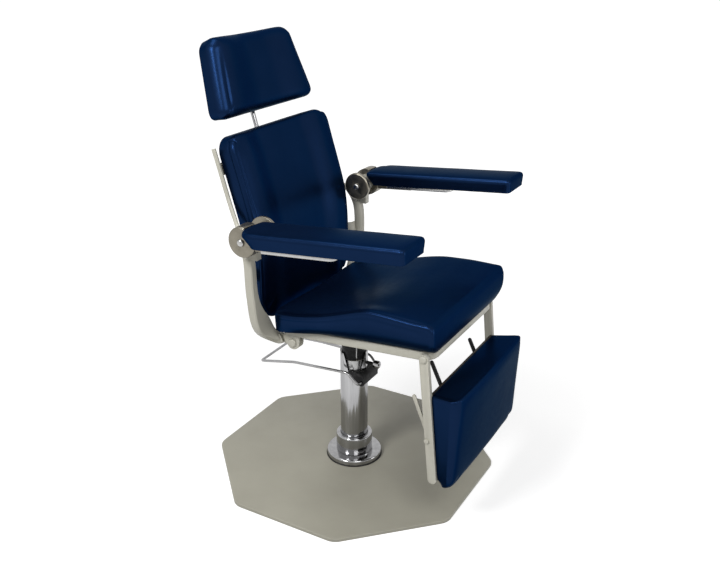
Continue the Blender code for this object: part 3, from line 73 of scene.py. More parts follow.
# Colours as the low and high end of each finish's clouds, and where paint is rubbed
VINYL = ((0.0044, 0.0136, 0.043), (0.0054, 0.0158, 0.049))
VINYL_TINT = (0.40, 0.45, 0.48, 1.0)
KHAKI = ((0.335, 0.322, 0.265), (0.370, 0.357, 0.295))
KHAKI_WORN = (0.36, 0.35, 0.30)
BEIGE = ((0.48, 0.465, 0.395), (0.54, 0.525, 0.45))
BEIGE_WORN = (0.62, 0.61, 0.55)
BLACK = ((0.008, 0.008, 0.009), (0.016, 0.016, 0.017))
BLACK_WORN = (0.075, 0.075, 0.078)
CHROME = ((0.29, 0.29, 0.295), (0.39, 0.39, 0.395))
NICKEL = ((0.19, 0.175, 0.142), (0.24, 0.222, 0.182))
STEEL = ((0.36, 0.36, 0.36), (0.43, 0.43, 0.42))
PLY = ((0.012, 0.009, 0.007), (0.034, 0.024, 0.016))
NYLON = ((0.52, 0.50, 0.43), (0.62, 0.60, 0.52))

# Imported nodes: bolts painted over with the frame, welding, flat faces and broken edges
PAINTED_OVER = ("legrest_bolt", "recline_pin", "release_bolt")
WELD_REACH = 0.00005
FLAT_ANGLE = math.radians(0.5)
BROKEN_EDGE = 0.0007
BROKEN_STEPS = 2
BROKEN_ANGLE = math.radians(35.0)

# Seat cushion, in the seat's tilted frame; its ends draw in by a share of what its sides do
SEAT_TILT = math.radians(4.0)
SEAT_ORIGIN = (0.0, 0.0, 0.476)
SEAT_GRID = (64, 62, 10)
SEAT_LOW = 0.0123
SEAT_HALF = 0.236
SEAT_FRONT = -0.359
SEAT_REAR = 0.125
SEAT_CORNER_R = 0.014
SEAT_REAR_R = 0.050
SEAT_EDGE = 0.008
SEAT_FRONT_EDGE = 0.018
SEAT_DRAW = 0.042
SEAT_END_DRAW = 1.0 / 3.0
DRAW_POWER = 3.4
DRAW_FADE = 0.21
SEAT_REAR_H = 0.054
SEAT_KNEE_H = 0.094
KNEE_FROM = 0.075
KNEE_RUN = 0.270
FRONT_DROP = 0.007
FRONT_FROM = -0.235
FRONT_RUN = 0.120
SEAT_DISH = 0.014
DISH_Y = -0.030
DISH_WIDE = 0.130
DISH_LONG = 0.150

# Wave along the near edge of the seat's top
EDGE_FROM = 0.70
EDGE_LIFT = 0.007
EDGE_LIFT_Y = -0.185
EDGE_DIP = 0.003
EDGE_DIP_Y = -0.050
EDGE_WAVE = 0.060

# Back cushion, along the bent line of the back's rear face
SPINE_FOOT = (0.167, 0.485)
SPINE_L = 0.503
SPINE_FOOT_LEAN = math.radians(5.0)
SPINE_BEND = 0.360
SPINE_STEPS = 60
BACK_LEAN = math.radians(16.8)
BACK_GRID = (64, 68, 8)
BACK_HALF = 0.2245
BACK_T = 0.042
BACK_BOLSTER = 0.012
BOLSTER_FROM = 0.095
BOLSTER_TO = 0.170
BACK_DRAW = 0.001
BACK_EDGE = 0.018
BACK_SIDE_EDGE = 0.011
BACK_CORNER_R = 0.046
BACK_FOOT_R = 0.075
BACK_FOOT_SHARE = 0.35
BACK_TAPER = 0.300
BACK_RIM = BACK_T + BACK_BOLSTER - BACK_SIDE_EDGE

# Head rest cushion, in the frame of the head rest rod
ROD_ORIGIN = (0.0, 0.315, 0.984)
HEAD_GRID = (60, 36, 8)
HEAD_REAR = -0.020
HEAD_LOW = 0.018
HEAD_HIGH = 0.224
HEAD_HALF_LOW = 0.2095
HEAD_HALF_HIGH = 0.170
HEAD_T = 0.0515
HEAD_BOLSTER = 0.011
HEAD_BOLSTER_FROM = 0.20
HEAD_BOLSTER_TO = 0.75
HEAD_DRAW = 0.004
HEAD_EDGE = 0.028
HEAD_TOP_EDGE = 0.034
HEAD_CORNER_R = 0.031
HEAD_FOOT_R = 0.028

# Tuck beside the head rest's wings, which comes in above the foot and fades upwards
TUCK_AT = 0.880
TUCK_DEPTH = 0.0046
TUCK_WIDTH = 0.0055
TUCK_FROM = -0.97
TUCK_IN_RUN = 0.50
TUCK_FADE_FROM = -0.60
TUCK_FADE_RUN = 1.50

# Arm pads, in the frame of the arm pivots
ARM_SIDES = (("right", -1.0), ("left", 1.0))
ARM_ORIGIN = (0.0, 0.124, 0.759)
ARM_PITCH = math.radians(5.0)
ARM_GRID = (24, 70, 7)
PAD_X = (0.256, 0.373)
PAD_FRONT = -0.4686
PAD_REAR = -0.014
PAD_RAKE = 0.018
PAD_T = 0.040
PAD_LOW = -0.002
PAD_EDGE = 0.009
PAD_CROWN = 0.003
PAD_DRAW = 0.004
PAD_CORNER_R = 0.012
PAD_HEEL_R = 0.040

# Leg rest pad, in the frame of the leg rest pivot; its ends draw in by a share of what its sides do
LEG_ORIGIN = (0.0, -0.318, 0.497)
LEG_LEAN = math.radians(5.8)
LEG_GRID = (60, 42, 10)
LEG_REAR = -0.0125
LEG_PAD_TOP = -0.096
LEG_PAD_LOW = -0.376
LEG_PAD_HALF = 0.220
LEG_PAD_DRAW = 0.015
LEG_END_DRAW = 0.25
LEG_PAD_THICK = 0.082
LEG_PAD_THIN = 0.040
LEG_PAD_CROWN = 0.007
LEG_CROWN_REACH = 1.6
LEG_TOE_DROP = 0.012
LEG_TOE_FROM = 0.72
LEG_EDGE = 0.021
LEG_TOP_R = 0.013
LEG_TOP_EDGE = 0.006
LEG_TOE_EDGE = 0.014
LEG_CORNER_R = 0.054

# Swelling of the pads as cloth, and how tight they are filled
PRESSURE = 4.0
SWELL_FRAMES = 20
SWELL_CAP = 0.004
ARM_SWELL_CAP = 0.002
SHRINK = 0.0008
EVEN_STEPS = 24

# Grids of the pads: how much the points crowd towards the edges, and where the front layer starts
GRID_CROWD = 0.2
FRONT_LAYER = 0.999

# Boxed seams: a raised edge with a hollow next to it, each as depth and half width
SEAM_IN = 0.002
SEAM_RIDGE = (0.0026, 0.0024)
SEAM_HOLLOW = (0.0013, 0.0035)
SEAM_HOLLOW_AT = 0.0075
SEAT_SEAM_SHARE = 0.6
SEAT_SEAM_END = 0.80
SEAT_SEAM_FADE = 0.15

# Faint waves of the covers
WAVE_SCALE = 13.0
WAVE_DEPTH = 0.0004

# Black bead under the column's flange, put there as painted contact shade where the flange stands on the
# plate
SHADE_BEAD_R = 0.0812
SHADE_BEAD_THICK = 0.0016
SHADE_BEAD_Z = 0.0112
SHADE_BEAD_POINTS = 96
SHADE_BEAD_SIDES = 10

# Socket screws: shares of radius and height from the rim to the top
SCREW_POINTS = 24
SCREW_SHAPE = ((1.0, 0.0), (1.0, 0.45), (0.92, 0.72), (0.74, 0.93), (0.56, 1.0))
SCREW_SHARP = math.radians(40.0)
SOCKET_SHARE = 0.40
SOCKET_FLOOR = 0.35
SCREW_SUNK = 0.0001

# Screws, in the frames of their pieces, and the radius and height of their heads
LEG_SCREW_X = (-0.165, -0.05, 0.05, 0.165)
LEG_SCREW_Y = -0.0016
LEG_SCREW_Z = (-0.140, -0.318)
LEG_SCREW = (0.0048, 0.0030)
HEAD_SCREW_X = (-0.043, 0.043)
HEAD_SCREW_Y = -0.0167
HEAD_SCREW_UP = (0.106, 0.170)
HEAD_SCREW = (0.0046, 0.0028)
SEAT_SCREW_X = (-0.13, 0.13)
SEAT_SCREW_Y = (-0.115, 0.045)
SEAT_SCREW_Z = -0.0117
SEAT_SCREW = (0.0052, 0.0032)
MOUNT_SCREW_X = (-0.060, 0.060)
MOUNT_SCREW_Y = (-0.08, 0.045)
MOUNT_SCREW_Z = -0.0203
MOUNT_SCREW = (0.0075, 0.0050)
ARM_SCREW_X = (0.278, 0.351)
ARM_SCREW_Y = (-0.27, -0.16)
ARM_SCREW_Z = -0.0103
ARM_SCREW = (0.0042, 0.0024)
BACK_SCREW_X = (-0.13, 0.13)
BACK_SCREW_ROWS = ((0.426, 0.0116), (0.139, 0.0119))
BACK_SCREW = (0.0052, 0.0032)
REARWARDS = (0.0, 1.0, 0.0)
DOWN = (0.0, 0.0, -1.0)


def math_node(tree, operation, first, second):
    """Result of a math node over two sockets."""
    node = tree.nodes.new("ShaderNodeMath")
    node.operation = operation
    tree.links.new(first, node.inputs[0])
    tree.links.new(second, node.inputs[1])
    return node.outputs[0]


class Finish:
    """A Principled material and short ways to build its node tree."""

    def __init__(self, name, roughness=0.5, metallic=0.0):
        self.material = bpy.data.materials.new(name)
        self.material.use_nodes = True
        self.tree = self.material.node_tree
        self.shader = self.tree.nodes["Principled BSDF"]
        self.set(Roughness=roughness, Metallic=metallic)
        self.place = self.tree.nodes.new("ShaderNodeTexCoord").outputs["Object"]

    def set(self, **values):
        """Set sockets of the shader; underscores stand for spaces."""
        for name, value in values.items():
            self.shader.inputs[name.replace("_", " ")].default_value = value
        return self

    def drive(self, socket, value):
        """Link a value to a socket of the shader."""
        self.tree.links.new(value, self.shader.inputs[socket])

    def stretched(self, scale):
        """The object's coordinates scaled along each axis."""
        node = self.tree.nodes.new("ShaderNodeMapping")
        node.inputs["Scale"].default_value = scale
        self.tree.links.new(self.place, node.inputs["Vector"])
        return node.outputs["Vector"]

    def noise(self, scale, detail=3.0, rough=0.5, place=None):
        """Value of a noise texture."""
        node = self.tree.nodes.new("ShaderNodeTexNoise")
        node.inputs["Scale"].default_value = scale
        node.inputs["Detail"].default_value = detail
        node.inputs["Roughness"].default_value = rough
        self.tree.links.new(place or self.place, node.inputs["Vector"])
        return node.outputs["Fac"]

    def cells(self, scale):
        """Distance to the nearest point of a cell pattern."""
        node = self.tree.nodes.new("ShaderNodeTexVoronoi")
        node.inputs["Scale"].default_value = scale
        self.tree.links.new(self.place, node.inputs["Vector"])
        return node.outputs["Distance"]

    def ramp(self, value, low, high, start=0.3, end=0.7):
        """Colours low to high over a value's range."""
        node = self.tree.nodes.new("ShaderNodeValToRGB")
        node.color_ramp.elements[0].position = start
        node.color_ramp.elements[1].position = end
        node.color_ramp.elements[0].color = (*low, 1.0)
        node.color_ramp.elements[1].color = (*high, 1.0)
        self.tree.links.new(value, node.inputs["Fac"])
        return node.outputs["Color"]

    def span(self, value, low, high, start=0.3, end=0.7):
        """A value mapped onto a new range."""
        node = self.tree.nodes.new("ShaderNodeMapRange")
        node.inputs["From Min"].default_value = start
        node.inputs["From Max"].default_value = end
        node.inputs["To Min"].default_value = low
        node.inputs["To Max"].default_value = high
        self.tree.links.new(value, node.inputs["Value"])
        return node.outputs["Result"]

    def rubbed(self, colour, worn):
        """A colour that gives way to a worn one in spots along sharp edges."""
        sharp = self.tree.nodes.new("ShaderNodeNewGeometry").outputs["Pointiness"]
        edges = self.span(sharp, low=0.0, high=0.8, start=0.52, end=0.60)
        spots = self.span(self.noise(scale=90.0, detail=5.0), low=0.0, high=1.0, start=0.45, end=0.65)
        mix = self.tree.nodes.new("ShaderNodeMix")
        mix.data_type = "RGBA"
        self.tree.links.new(math_node(self.tree, "MULTIPLY", edges, spots), mix.inputs["Factor"])
        first, second = (socket for socket in mix.inputs if socket.type == "RGBA")
        self.tree.links.new(colour, first)
        second.default_value = (*worn, 1.0)
        return next(socket for socket in mix.outputs if socket.type == "RGBA")

    def bump(self, *heights):
        """Bumps from (height, strength, distance), laid over each other."""
        last = None
        for height, strength, distance in heights:
            node = self.tree.nodes.new("ShaderNodeBump")
            node.inputs["Strength"].default_value = strength
            node.inputs["Distance"].default_value = distance
            self.tree.links.new(height, node.inputs["Height"])
            if last is not None:
                self.tree.links.new(last, node.inputs["Normal"])
            last = node.outputs["Normal"]
        self.drive("Normal", last)


def painted(name, colours, worn, rough, peel, gloss=0.35):
    """Sprayed paint with a fine orange peel, faint clouds and rubbed edges."""
    made = Finish(name)
    clouds = made.ramp(made.noise(scale=7.0, detail=4.0), *colours)
    made.drive("Base Color", made.rubbed(clouds, worn))
    made.drive("Roughness", made.span(made.noise(scale=40.0), low=rough - 0.05, high=rough + 0.06))
    made.bump((made.noise(scale=420.0, detail=2.0), peel, 0.0006))
    return made.set(Specular_IOR_Level=gloss)


def metal(name, colours, rough, streak):
    """Bare metal with faint marks drawn out along one axis."""
    made = Finish(name, rough, metallic=1.0)
    marks = made.noise(scale=1.0, detail=4.0, rough=0.6, place=made.stretched(streak))
    made.drive("Base Color", made.ramp(marks, *colours))
    made.drive("Roughness", made.span(marks, low=rough - 0.03, high=rough + 0.05))
    made.bump((marks, 0.05, 0.0002))
    return made


def leather_cloth():
    """Navy vinyl with a fine pebble grain and a bluish gloss that fades at grazing angles."""
    made = Finish("navy_vinyl")
    made.drive("Base Color", made.ramp(made.noise(scale=9.0, detail=5.0), *VINYL))
    made.drive("Roughness", made.span(made.noise(scale=60.0), low=0.29, high=0.35))
    made.bump((made.cells(scale=620.0), 0.05, 0.0003), (made.noise(scale=150.0), 0.04, 0.0005))
    facing = made.tree.nodes.new("ShaderNodeLayerWeight").outputs["Facing"]
    made.drive("Metallic", made.span(facing, low=0.88, high=0.58, start=0.46, end=0.68))
    return made.set(Specular_IOR_Level=0.0, Specular_Tint=VINYL_TINT)


def stained_ply():
    """Dark stained plywood with its grain along Y."""
    made = Finish("stained_ply")
    grain = made.noise(scale=5.0, detail=6.0, rough=0.6, place=made.stretched((9.0, 1.0, 1.0)))
    made.drive("Base Color", made.ramp(grain, *PLY))
    made.drive("Roughness", made.span(grain, low=0.46, high=0.58))
    made.bump((grain, 0.12, 0.0006))
    return made.set(Specular_IOR_Level=0.25)


def nylon():
    """Cream nylon of the liners and washers."""
    made = Finish("nylon")
    made.drive("Base Color", made.ramp(made.noise(scale=60.0), *NYLON))
    made.bump((made.noise(scale=500.0), 0.08, 0.0004))
    return made


def make_finishes():
    """One finish for each of the record's slots."""
    chrome = metal("chrome", CHROME, rough=0.10, streak=(60.0, 60.0, 3.0))
    chrome.set(Anisotropic=0.85, Anisotropic_Rotation=0.25)
    return {
        "vinyl": leather_cloth(),
        "plate_paint": painted("khaki_paint", KHAKI, KHAKI_WORN, rough=0.42, peel=0.16),
        "frame_paint": painted("beige_paint", BEIGE, BEIGE_WORN, rough=0.36, peel=0.10),
        "black": painted("black_paint", BLACK, BLACK_WORN, rough=0.46, peel=0.14, gloss=0.16),
        "chrome": chrome,
        "nickel": metal("taupe_nickel", NICKEL, rough=0.34, streak=(240.0, 40.0, 40.0)),
        "steel": metal("dull_steel", STEEL, rough=0.26, streak=(40.0, 180.0, 40.0)),
        "liner": nylon(),
        "ply": stained_ply(),
    }


FINISHES = make_finishes()


def seen_share(tree):
    """1 for rays from the camera and in gloss or glass, 0 for rays that light the chair."""
    path = tree.nodes.new("ShaderNodeLightPath")
    gloss = math_node(tree, "MAXIMUM", path.outputs["Is Glossy Ray"], path.outputs["Is Transmission Ray"])
    return math_node(tree, "MAXIMUM", path.outputs["Is Camera Ray"], gloss)


def floor_finish():
    """Pale floor that shows white to the camera and in gloss, and keeps the shadow."""
    made = Finish("pale_floor", FLOOR_ROUGH)
    made.set(Base_Color=(FLOOR_GREY, FLOOR_GREY, FLOOR_GREY, 1.0), Specular_IOR_Level=0.0)
    made.set(Emission_Color=(1.0, 1.0, 1.0, 1.0))
    away = made.tree.nodes.new("ShaderNodeVectorMath")
    away.operation = "LENGTH"
    made.tree.links.new(made.place, away.inputs[0])
    glow = made.span(away.outputs["Value"], low=GLOW_NEAR, high=GLOW_FAR, start=GLOW_FROM, end=GLOW_TO)
    made.drive("Emission Strength", math_node(made.tree, "MULTIPLY", seen_share(made.tree), glow))
    return made.material


def make_floor():
    """Wide pale floor under the chair."""
    mesh = bpy.data.meshes.new("floor")
    signs = ((-1, -1), (1, -1), (1, 1), (-1, 1))
    mesh.from_pydata([(x * FLOOR_HALF, y * FLOOR_HALF, 0.0) for x, y in signs], [], [(0, 1, 2, 3)])
    mesh.materials.append(floor_finish())
    floor = bpy.data.objects.new("floor", mesh)
    bpy.context.scene.collection.objects.link(floor)


def make_world():
    """Surroundings that show white to the camera and in gloss, and light the chair softly."""
    world = bpy.data.worlds.new("studio")
    bpy.context.scene.world = world
    world.use_nodes = True
    tree = world.node_tree
    sky = tree.nodes["Background"]
    sky.inputs["Color"].default_value = (1.0, 1.0, 1.0, 1.0)
    level = tree.nodes.new("ShaderNodeMapRange")
    level.inputs["To Min"].default_value = WORLD_LIGHT
    level.inputs["To Max"].default_value = WORLD_SEEN
    tree.links.new(seen_share(tree), level.inputs["Value"])
    tree.links.new(level.outputs["Result"], sky.inputs["Strength"])


def make_lamps():
    """Soft rectangular lamps that the camera doesn't see."""
    for name, place, width, height, power in LAMPS:
        light = bpy.data.lights.new(name, "AREA")
        light.shape = "RECTANGLE"
        light.size = width
        light.size_y = height
        light.energy = power
        lamp = bpy.data.objects.new(name, light)
        lamp.location = place
        lamp.rotation_euler = (Vector(LAMP_AIM) - Vector(place)).to_track_quat("-Z", "Y").to_euler()
        lamp.visible_camera = False
        bpy.context.scene.collection.objects.link(lamp)


def make_camera():
    """Camera at the photograph's place, and plain colours."""
    lens = bpy.data.cameras.new("photo_camera")
    lens.lens = CAMERA_LENS
    lens.sensor_width = CAMERA_SENSOR
    lens.sensor_fit = "HORIZONTAL"
    camera = bpy.data.objects.new("photo_camera", lens)
    camera.location = CAMERA_PLACE
    camera.rotation_euler = [math.radians(angle) for angle in CAMERA_TURN]
    bpy.context.scene.collection.objects.link(camera)
    bpy.context.scene.camera = camera
    bpy.context.scene.view_settings.view_transform = "Standard"


def dress_nodes():
    """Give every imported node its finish, smooth rounds and slightly broken edges."""
    slots = {row["node"]: row["material_slot"] for row in frame["record"]["subparts"]}
    for name, node in frame["nodes"].items():
        finish = "frame_paint" if name.startswith(PAINTED_OVER) else slots[name]
        node.data.materials.clear()
        node.data.materials.append(FINISHES[finish].material)
        node.data.shade_smooth()
        weld = node.modifiers.new("weld", "WELD")
        weld.merge_threshold = WELD_REACH
        flat = node.modifiers.new("flat", "DECIMATE")
        flat.decimate_type = "DISSOLVE"
        flat.angle_limit = FLAT_ANGLE
        edge = node.modifiers.new("edge", "BEVEL")
        edge.width = BROKEN_EDGE
        edge.segments = BROKEN_STEPS
        edge.limit_method = "ANGLE"
        edge.angle_limit = BROKEN_ANGLE
        edge.harden_normals = True


def ease(value):
    """Smooth step from 0 to 1 for a number."""
    share = min(max(value, 0.0), 1.0)
    return share * share * (3.0 - 2.0 * share)


def smooth(value):
    """Smooth step from 0 to 1 for an array."""
    share = np.clip(value, 0.0, 1.0)
    return share * share * (3.0 - 2.0 * share)


def tilted(origin, angle):
    """Matrix of a frame turned about X."""
    return Matrix.Translation(origin) @ Matrix.Rotation(-angle, 4, "X")


def lying(frame_of):
    """Placing for a pad whose thickness is along a frame's Z."""
    return lambda x, y, out: frame_of @ Vector((x, y, out))


def standing(frame_of):
    """Placing for a pad whose thickness is along a frame's Y."""
    return lambda x, up, out: frame_of @ Vector((x, out, up))


def spread(step, count):
    """Grid position from -1 to 1, closer together near the ends."""
    even = 2.0 * step / count - 1.0
    return even + GRID_CROWD * math.sin(math.pi * even)


def round_corner(a, b, half_a, half_b, radius):
    """Pull a rectangle's point into the same rectangle with round corners."""
    inner_a = max(-(half_a - radius), min(half_a - radius, a))
    inner_b = max(-(half_b - radius), min(half_b - radius, b))
    out = Vector((a - inner_a, b - inner_b))
    if out.length > 0.0:
        out *= max(abs(out.x), abs(out.y)) / out.length
    return inner_a + out.x, inner_b + out.y


def roll_off(a, b, half_a, half_b, radius):
    """How far a padded top falls towards its rim."""
    inside = min(half_a - abs(a), half_b - abs(b), radius)
    return radius - math.sqrt(max(radius ** 2 - (radius - inside) ** 2, 0.0))


def two_rolls(a, b, half_a, half_b, radius_a, radius_b):
    """Fall towards the rim with one radius along each direction."""
    wide = max(half_a, half_b) + radius_a + radius_b
    return math.hypot(roll_off(a, 0.0, half_a, wide, radius_a), roll_off(0.0, b, wide, half_b, radius_b))


def placed(name, bm):
    """New object in the scene from a finished bmesh."""
    mesh = bpy.data.meshes.new(name)
    bm.to_mesh(mesh)
    bm.free()
    made = bpy.data.objects.new(name, mesh)
    bpy.context.scene.collection.objects.link(made)
    return made


def pad_points(bm, counts, plan, rise, place):
    """Points on the six sides of a pad's grid; each keeps its grid position for the seams."""
    kept = bm.verts.layers.float_vector.new("grid")
    wide, long, high = counts
    points = {}
    for i, j, k in itertools.product(range(wide + 1), range(long + 1), range(high + 1)):
        if i % wide and j % long and k % high:
            continue
        u, v, w = spread(i, wide), spread(j, long), k / high
        points[i, j, k] = bm.verts.new(place(*plan(u, v, w), rise(u, v, w)))
        points[i, j, k][kept] = (u, v, w)
    return points


def pad_faces(bm, counts, points):
    """Faces on the six sides of a pad's grid."""
    wide, long, high = counts

    def quad(*keys):
        bm.faces.new([points[key] for key in keys])

    for i in range(wide):
        for j in range(long):
            for k in (0, high):
                quad((i, j, k), (i + 1, j, k), (i + 1, j + 1, k), (i, j + 1, k))
        for k in range(high):
            for j in (0, long):
                quad((i, j, k), (i + 1, j, k), (i + 1, j, k + 1), (i, j, k + 1))
    for j in range(long):
        for k in range(high):
            for i in (0, wide):
                quad((i, j, k), (i, j + 1, k), (i, j + 1, k + 1), (i, j, k + 1))
    bmesh.ops.recalc_face_normals(bm, faces=bm.faces)


def pad_grid(name, counts, plan, rise, place):
    """Closed grid of a pad with its flat rear pinned.

    plan gives a point's place along the pad, rise how far it stands out, and place puts it in the chair.
    """
    bm = bmesh.new()
    points = pad_points(bm, counts, plan, rise, place)
    pad_faces(bm, counts, points)
    bm.verts.index_update()
    pinned = [point.index for key, point in points.items() if key[2] == 0]
    pad = placed(name, bm)
    pad.vertex_groups.new(name="pin").add(pinned, 1.0, "REPLACE")
    return pad


def read(rows, key, width=3):
    """One property of a mesh's rows as an array."""
    flat = np.zeros(len(rows) * width)
    rows.foreach_get(key, flat)
    return flat.reshape(-1, width)


def put_points(mesh, points):
    """Write vertex places back to a mesh."""
    mesh.vertices.foreach_set("co", points.ravel())
    mesh.update()


def evened(mesh, values):
    """Values of the points averaged over their neighbours again and again."""
    ends = np.zeros(len(mesh.edges) * 2, dtype=int)
    mesh.edges.foreach_get("vertices", ends)
    first, second = ends.reshape(-1, 2).T
    total = len(values)
    joined = np.bincount(ends, minlength=total)
    for _ in range(EVEN_STEPS):
        around = np.bincount(first, values[second], total) + np.bincount(second, values[first], total)
        values = (values + around / joined) / 2
    return values


def blown_up(pad):
    """Places of a pad's points after a while as cloth under pressure."""
    cloth = pad.modifiers.new("cloth", "CLOTH")
    cloth.settings.vertex_group_mass = "pin"
    cloth.settings.use_pressure = True
    cloth.settings.uniform_pressure_force = PRESSURE
    cloth.settings.effector_weights.gravity = 0.0
    cloth.point_cache.frame_end = SWELL_FRAMES
    scene = bpy.context.scene
    for step in range(1, SWELL_FRAMES + 1):
        scene.frame_set(step)
    grown = pad.evaluated_get(bpy.context.evaluated_depsgraph_get()).to_mesh()
    points = read(grown.vertices, "co")
    pad.modifiers.remove(cloth)
    scene.frame_set(1)
    return points


def swell(pad, cap):
    """Shrink a pad a little, blow it up as cloth by no more than the cap and even the result out."""
    mesh = pad.data
    rest = read(mesh.vertices, "co")
    normal = read(mesh.vertex_normals, "vector")
    free = read(mesh.attributes["grid"].data, "vector")[:, 2] > 0.0
    put_points(mesh, rest - normal * free[:, None] * SHRINK)
    start = read(mesh.vertices, "co")
    push = np.clip(np.sum((blown_up(pad) - start) * normal, axis=1), 0.0, cap)
    put_points(mesh, start + normal * (evened(mesh, push) * free)[:, None])


def finish_pad(pad, node, body, rim=None):
    """Round a pad once more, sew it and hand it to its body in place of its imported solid.

    rim gives the depth of the seams and tucks at the grid positions of the points.
    """
    rounder = pad.modifiers.new("round", "SUBSURF")
    rounder.levels = 1
    rounder.render_levels = 1
    graph = bpy.context.evaluated_depsgraph_get()
    pad.data = bpy.data.meshes.new_from_object(pad.evaluated_get(graph), depsgraph=graph)
    pad.modifiers.clear()
    mesh = pad.data
    grid = read(mesh.attributes["grid"].data, "vector")
    points = read(mesh.vertices, "co")
    waves = np.array([noise.noise(Vector(point) * WAVE_SCALE) for point in points])
    depth = WAVE_DEPTH * waves * (grid[:, 2] > 0.0)
    if rim is not None:
        depth += rim(*grid.T)
    put_points(mesh, points - read(mesh.vertex_normals, "vector") * depth[:, None])
    mesh.shade_smooth()
    mesh.materials.append(FINISHES["vinyl"].material)
    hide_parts(node)
    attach(pad, body)


def hollow(away, depth, half_width):
    """Depth of a soft groove at a distance from its middle."""
    return depth * np.exp(-(away / half_width) ** 2)


def boxed(reach, side):
    """Raised edge where a pad's front is sewn to its side, with a hollow next to it.

    reach is counted inwards from the edge over the front, side down from it over the side.
    """
    away = reach + side
    return hollow(away - SEAM_HOLLOW_AT, *SEAM_HOLLOW) - hollow(away, *SEAM_RIDGE)


def make_seat():
    """Seat cushion with a dished rear, a raised knee roll and a wavy near edge."""
    middle = (SEAT_FRONT + SEAT_REAR) / 2
    length = (SEAT_REAR - SEAT_FRONT) / 2

    def plan(u, v, w):
        radius = SEAT_CORNER_R if v < 0 else SEAT_REAR_R
        x, y = round_corner(u * SEAT_HALF, v * length, SEAT_HALF, length, radius)
        draw = SEAT_DRAW * (1.0 - w) ** DRAW_POWER * (1.0 - ease((v - DRAW_FADE) / (1.0 - DRAW_FADE)))
        return x * (1.0 - draw / SEAT_HALF), middle + y * (1.0 - SEAT_END_DRAW * draw / length)

    def rise(u, v, w):
        x, y = u * SEAT_HALF, middle + v * length
        height = SEAT_REAR_H + (SEAT_KNEE_H - SEAT_REAR_H) * ease((KNEE_FROM - y) / KNEE_RUN)
        height -= FRONT_DROP * ease((FRONT_FROM - y) / FRONT_RUN)
        height -= SEAT_DISH * math.exp(-(x / DISH_WIDE) ** 2 - ((y - DISH_Y) / DISH_LONG) ** 2)
        near = ease((-u - EDGE_FROM) / (1.0 - EDGE_FROM))
        height += near * EDGE_LIFT * math.exp(-((y - EDGE_LIFT_Y) / EDGE_WAVE) ** 2)
        height -= near * EDGE_DIP * math.exp(-((y - EDGE_DIP_Y) / EDGE_WAVE) ** 2)
        height -= two_rolls(x, v * length, SEAT_HALF, length, SEAT_EDGE, SEAT_FRONT_EDGE)
        return SEAT_LOW + height * w

    def rim(u, v, w):
        faded = 1.0 - smooth((np.abs(v) - SEAT_SEAM_END) / SEAT_SEAM_FADE)
        reach = (1.0 - np.abs(u)) * SEAT_HALF - SEAM_IN
        return SEAT_SEAM_SHARE * boxed(reach, (1.0 - w) * SEAT_REAR_H) * faded

    pad = pad_grid("seat_cover", SEAT_GRID, plan, rise, lying(tilted(SEAT_ORIGIN, SEAT_TILT)))
    swell(pad, SWELL_CAP)
    finish_pad(pad, "seat_cushion", "seat", rim)


def spine_lean(s):
    """Lean of the back's rear face: steep at its foot, then straight."""
    return SPINE_FOOT_LEAN + (BACK_LEAN - SPINE_FOOT_LEAN) * ease(s / SPINE_BEND)


def on_spine(x, s, out):
    """Point beside the back's rear face, out counted rearwards."""
    y, z = SPINE_FOOT
    for i in range(SPINE_STEPS):
        lean = spine_lean(s * (i + 0.5) / SPINE_STEPS)
        y += math.sin(lean) * s / SPINE_STEPS
        z += math.cos(lean) * s / SPINE_STEPS
    lean = spine_lean(s)
    return Vector((x, y + out * math.cos(lean), z - out * math.sin(lean)))


def make_back():
    """Back cushion with raised side bolsters, tapering to its foot."""
    half_s = SPINE_L / 2

    def plan(u, v, w):
        radius = BACK_FOOT_R if v < 0 else BACK_CORNER_R
        x, s = round_corner(u * BACK_HALF, v * half_s, BACK_HALF, half_s, radius)
        draw = BACK_DRAW * (1.0 - w)
        return x * (1.0 - draw / BACK_HALF), s * (1.0 - draw / half_s) + half_s

    def rise(u, v, w):
        x, s = u * BACK_HALF, v * half_s
        thick = BACK_T + BACK_BOLSTER * ease((abs(x) - BOLSTER_FROM) / (BOLSTER_TO - BOLSTER_FROM))
        thick -= two_rolls(x, s, BACK_HALF, half_s, BACK_SIDE_EDGE, BACK_EDGE)
        share = BACK_FOOT_SHARE + (1.0 - BACK_FOOT_SHARE) * ease((s + half_s) / BACK_TAPER)
        return -thick * share * w

    def rim(u, v, w):
        return boxed((1.0 - np.abs(u)) * BACK_HALF - SEAM_IN, (1.0 - w) * BACK_RIM)

    pad = pad_grid("back_cover", BACK_GRID, plan, rise, on_spine)
    swell(pad, SWELL_CAP)
    finish_pad(pad, "back_cushion", "back", rim)


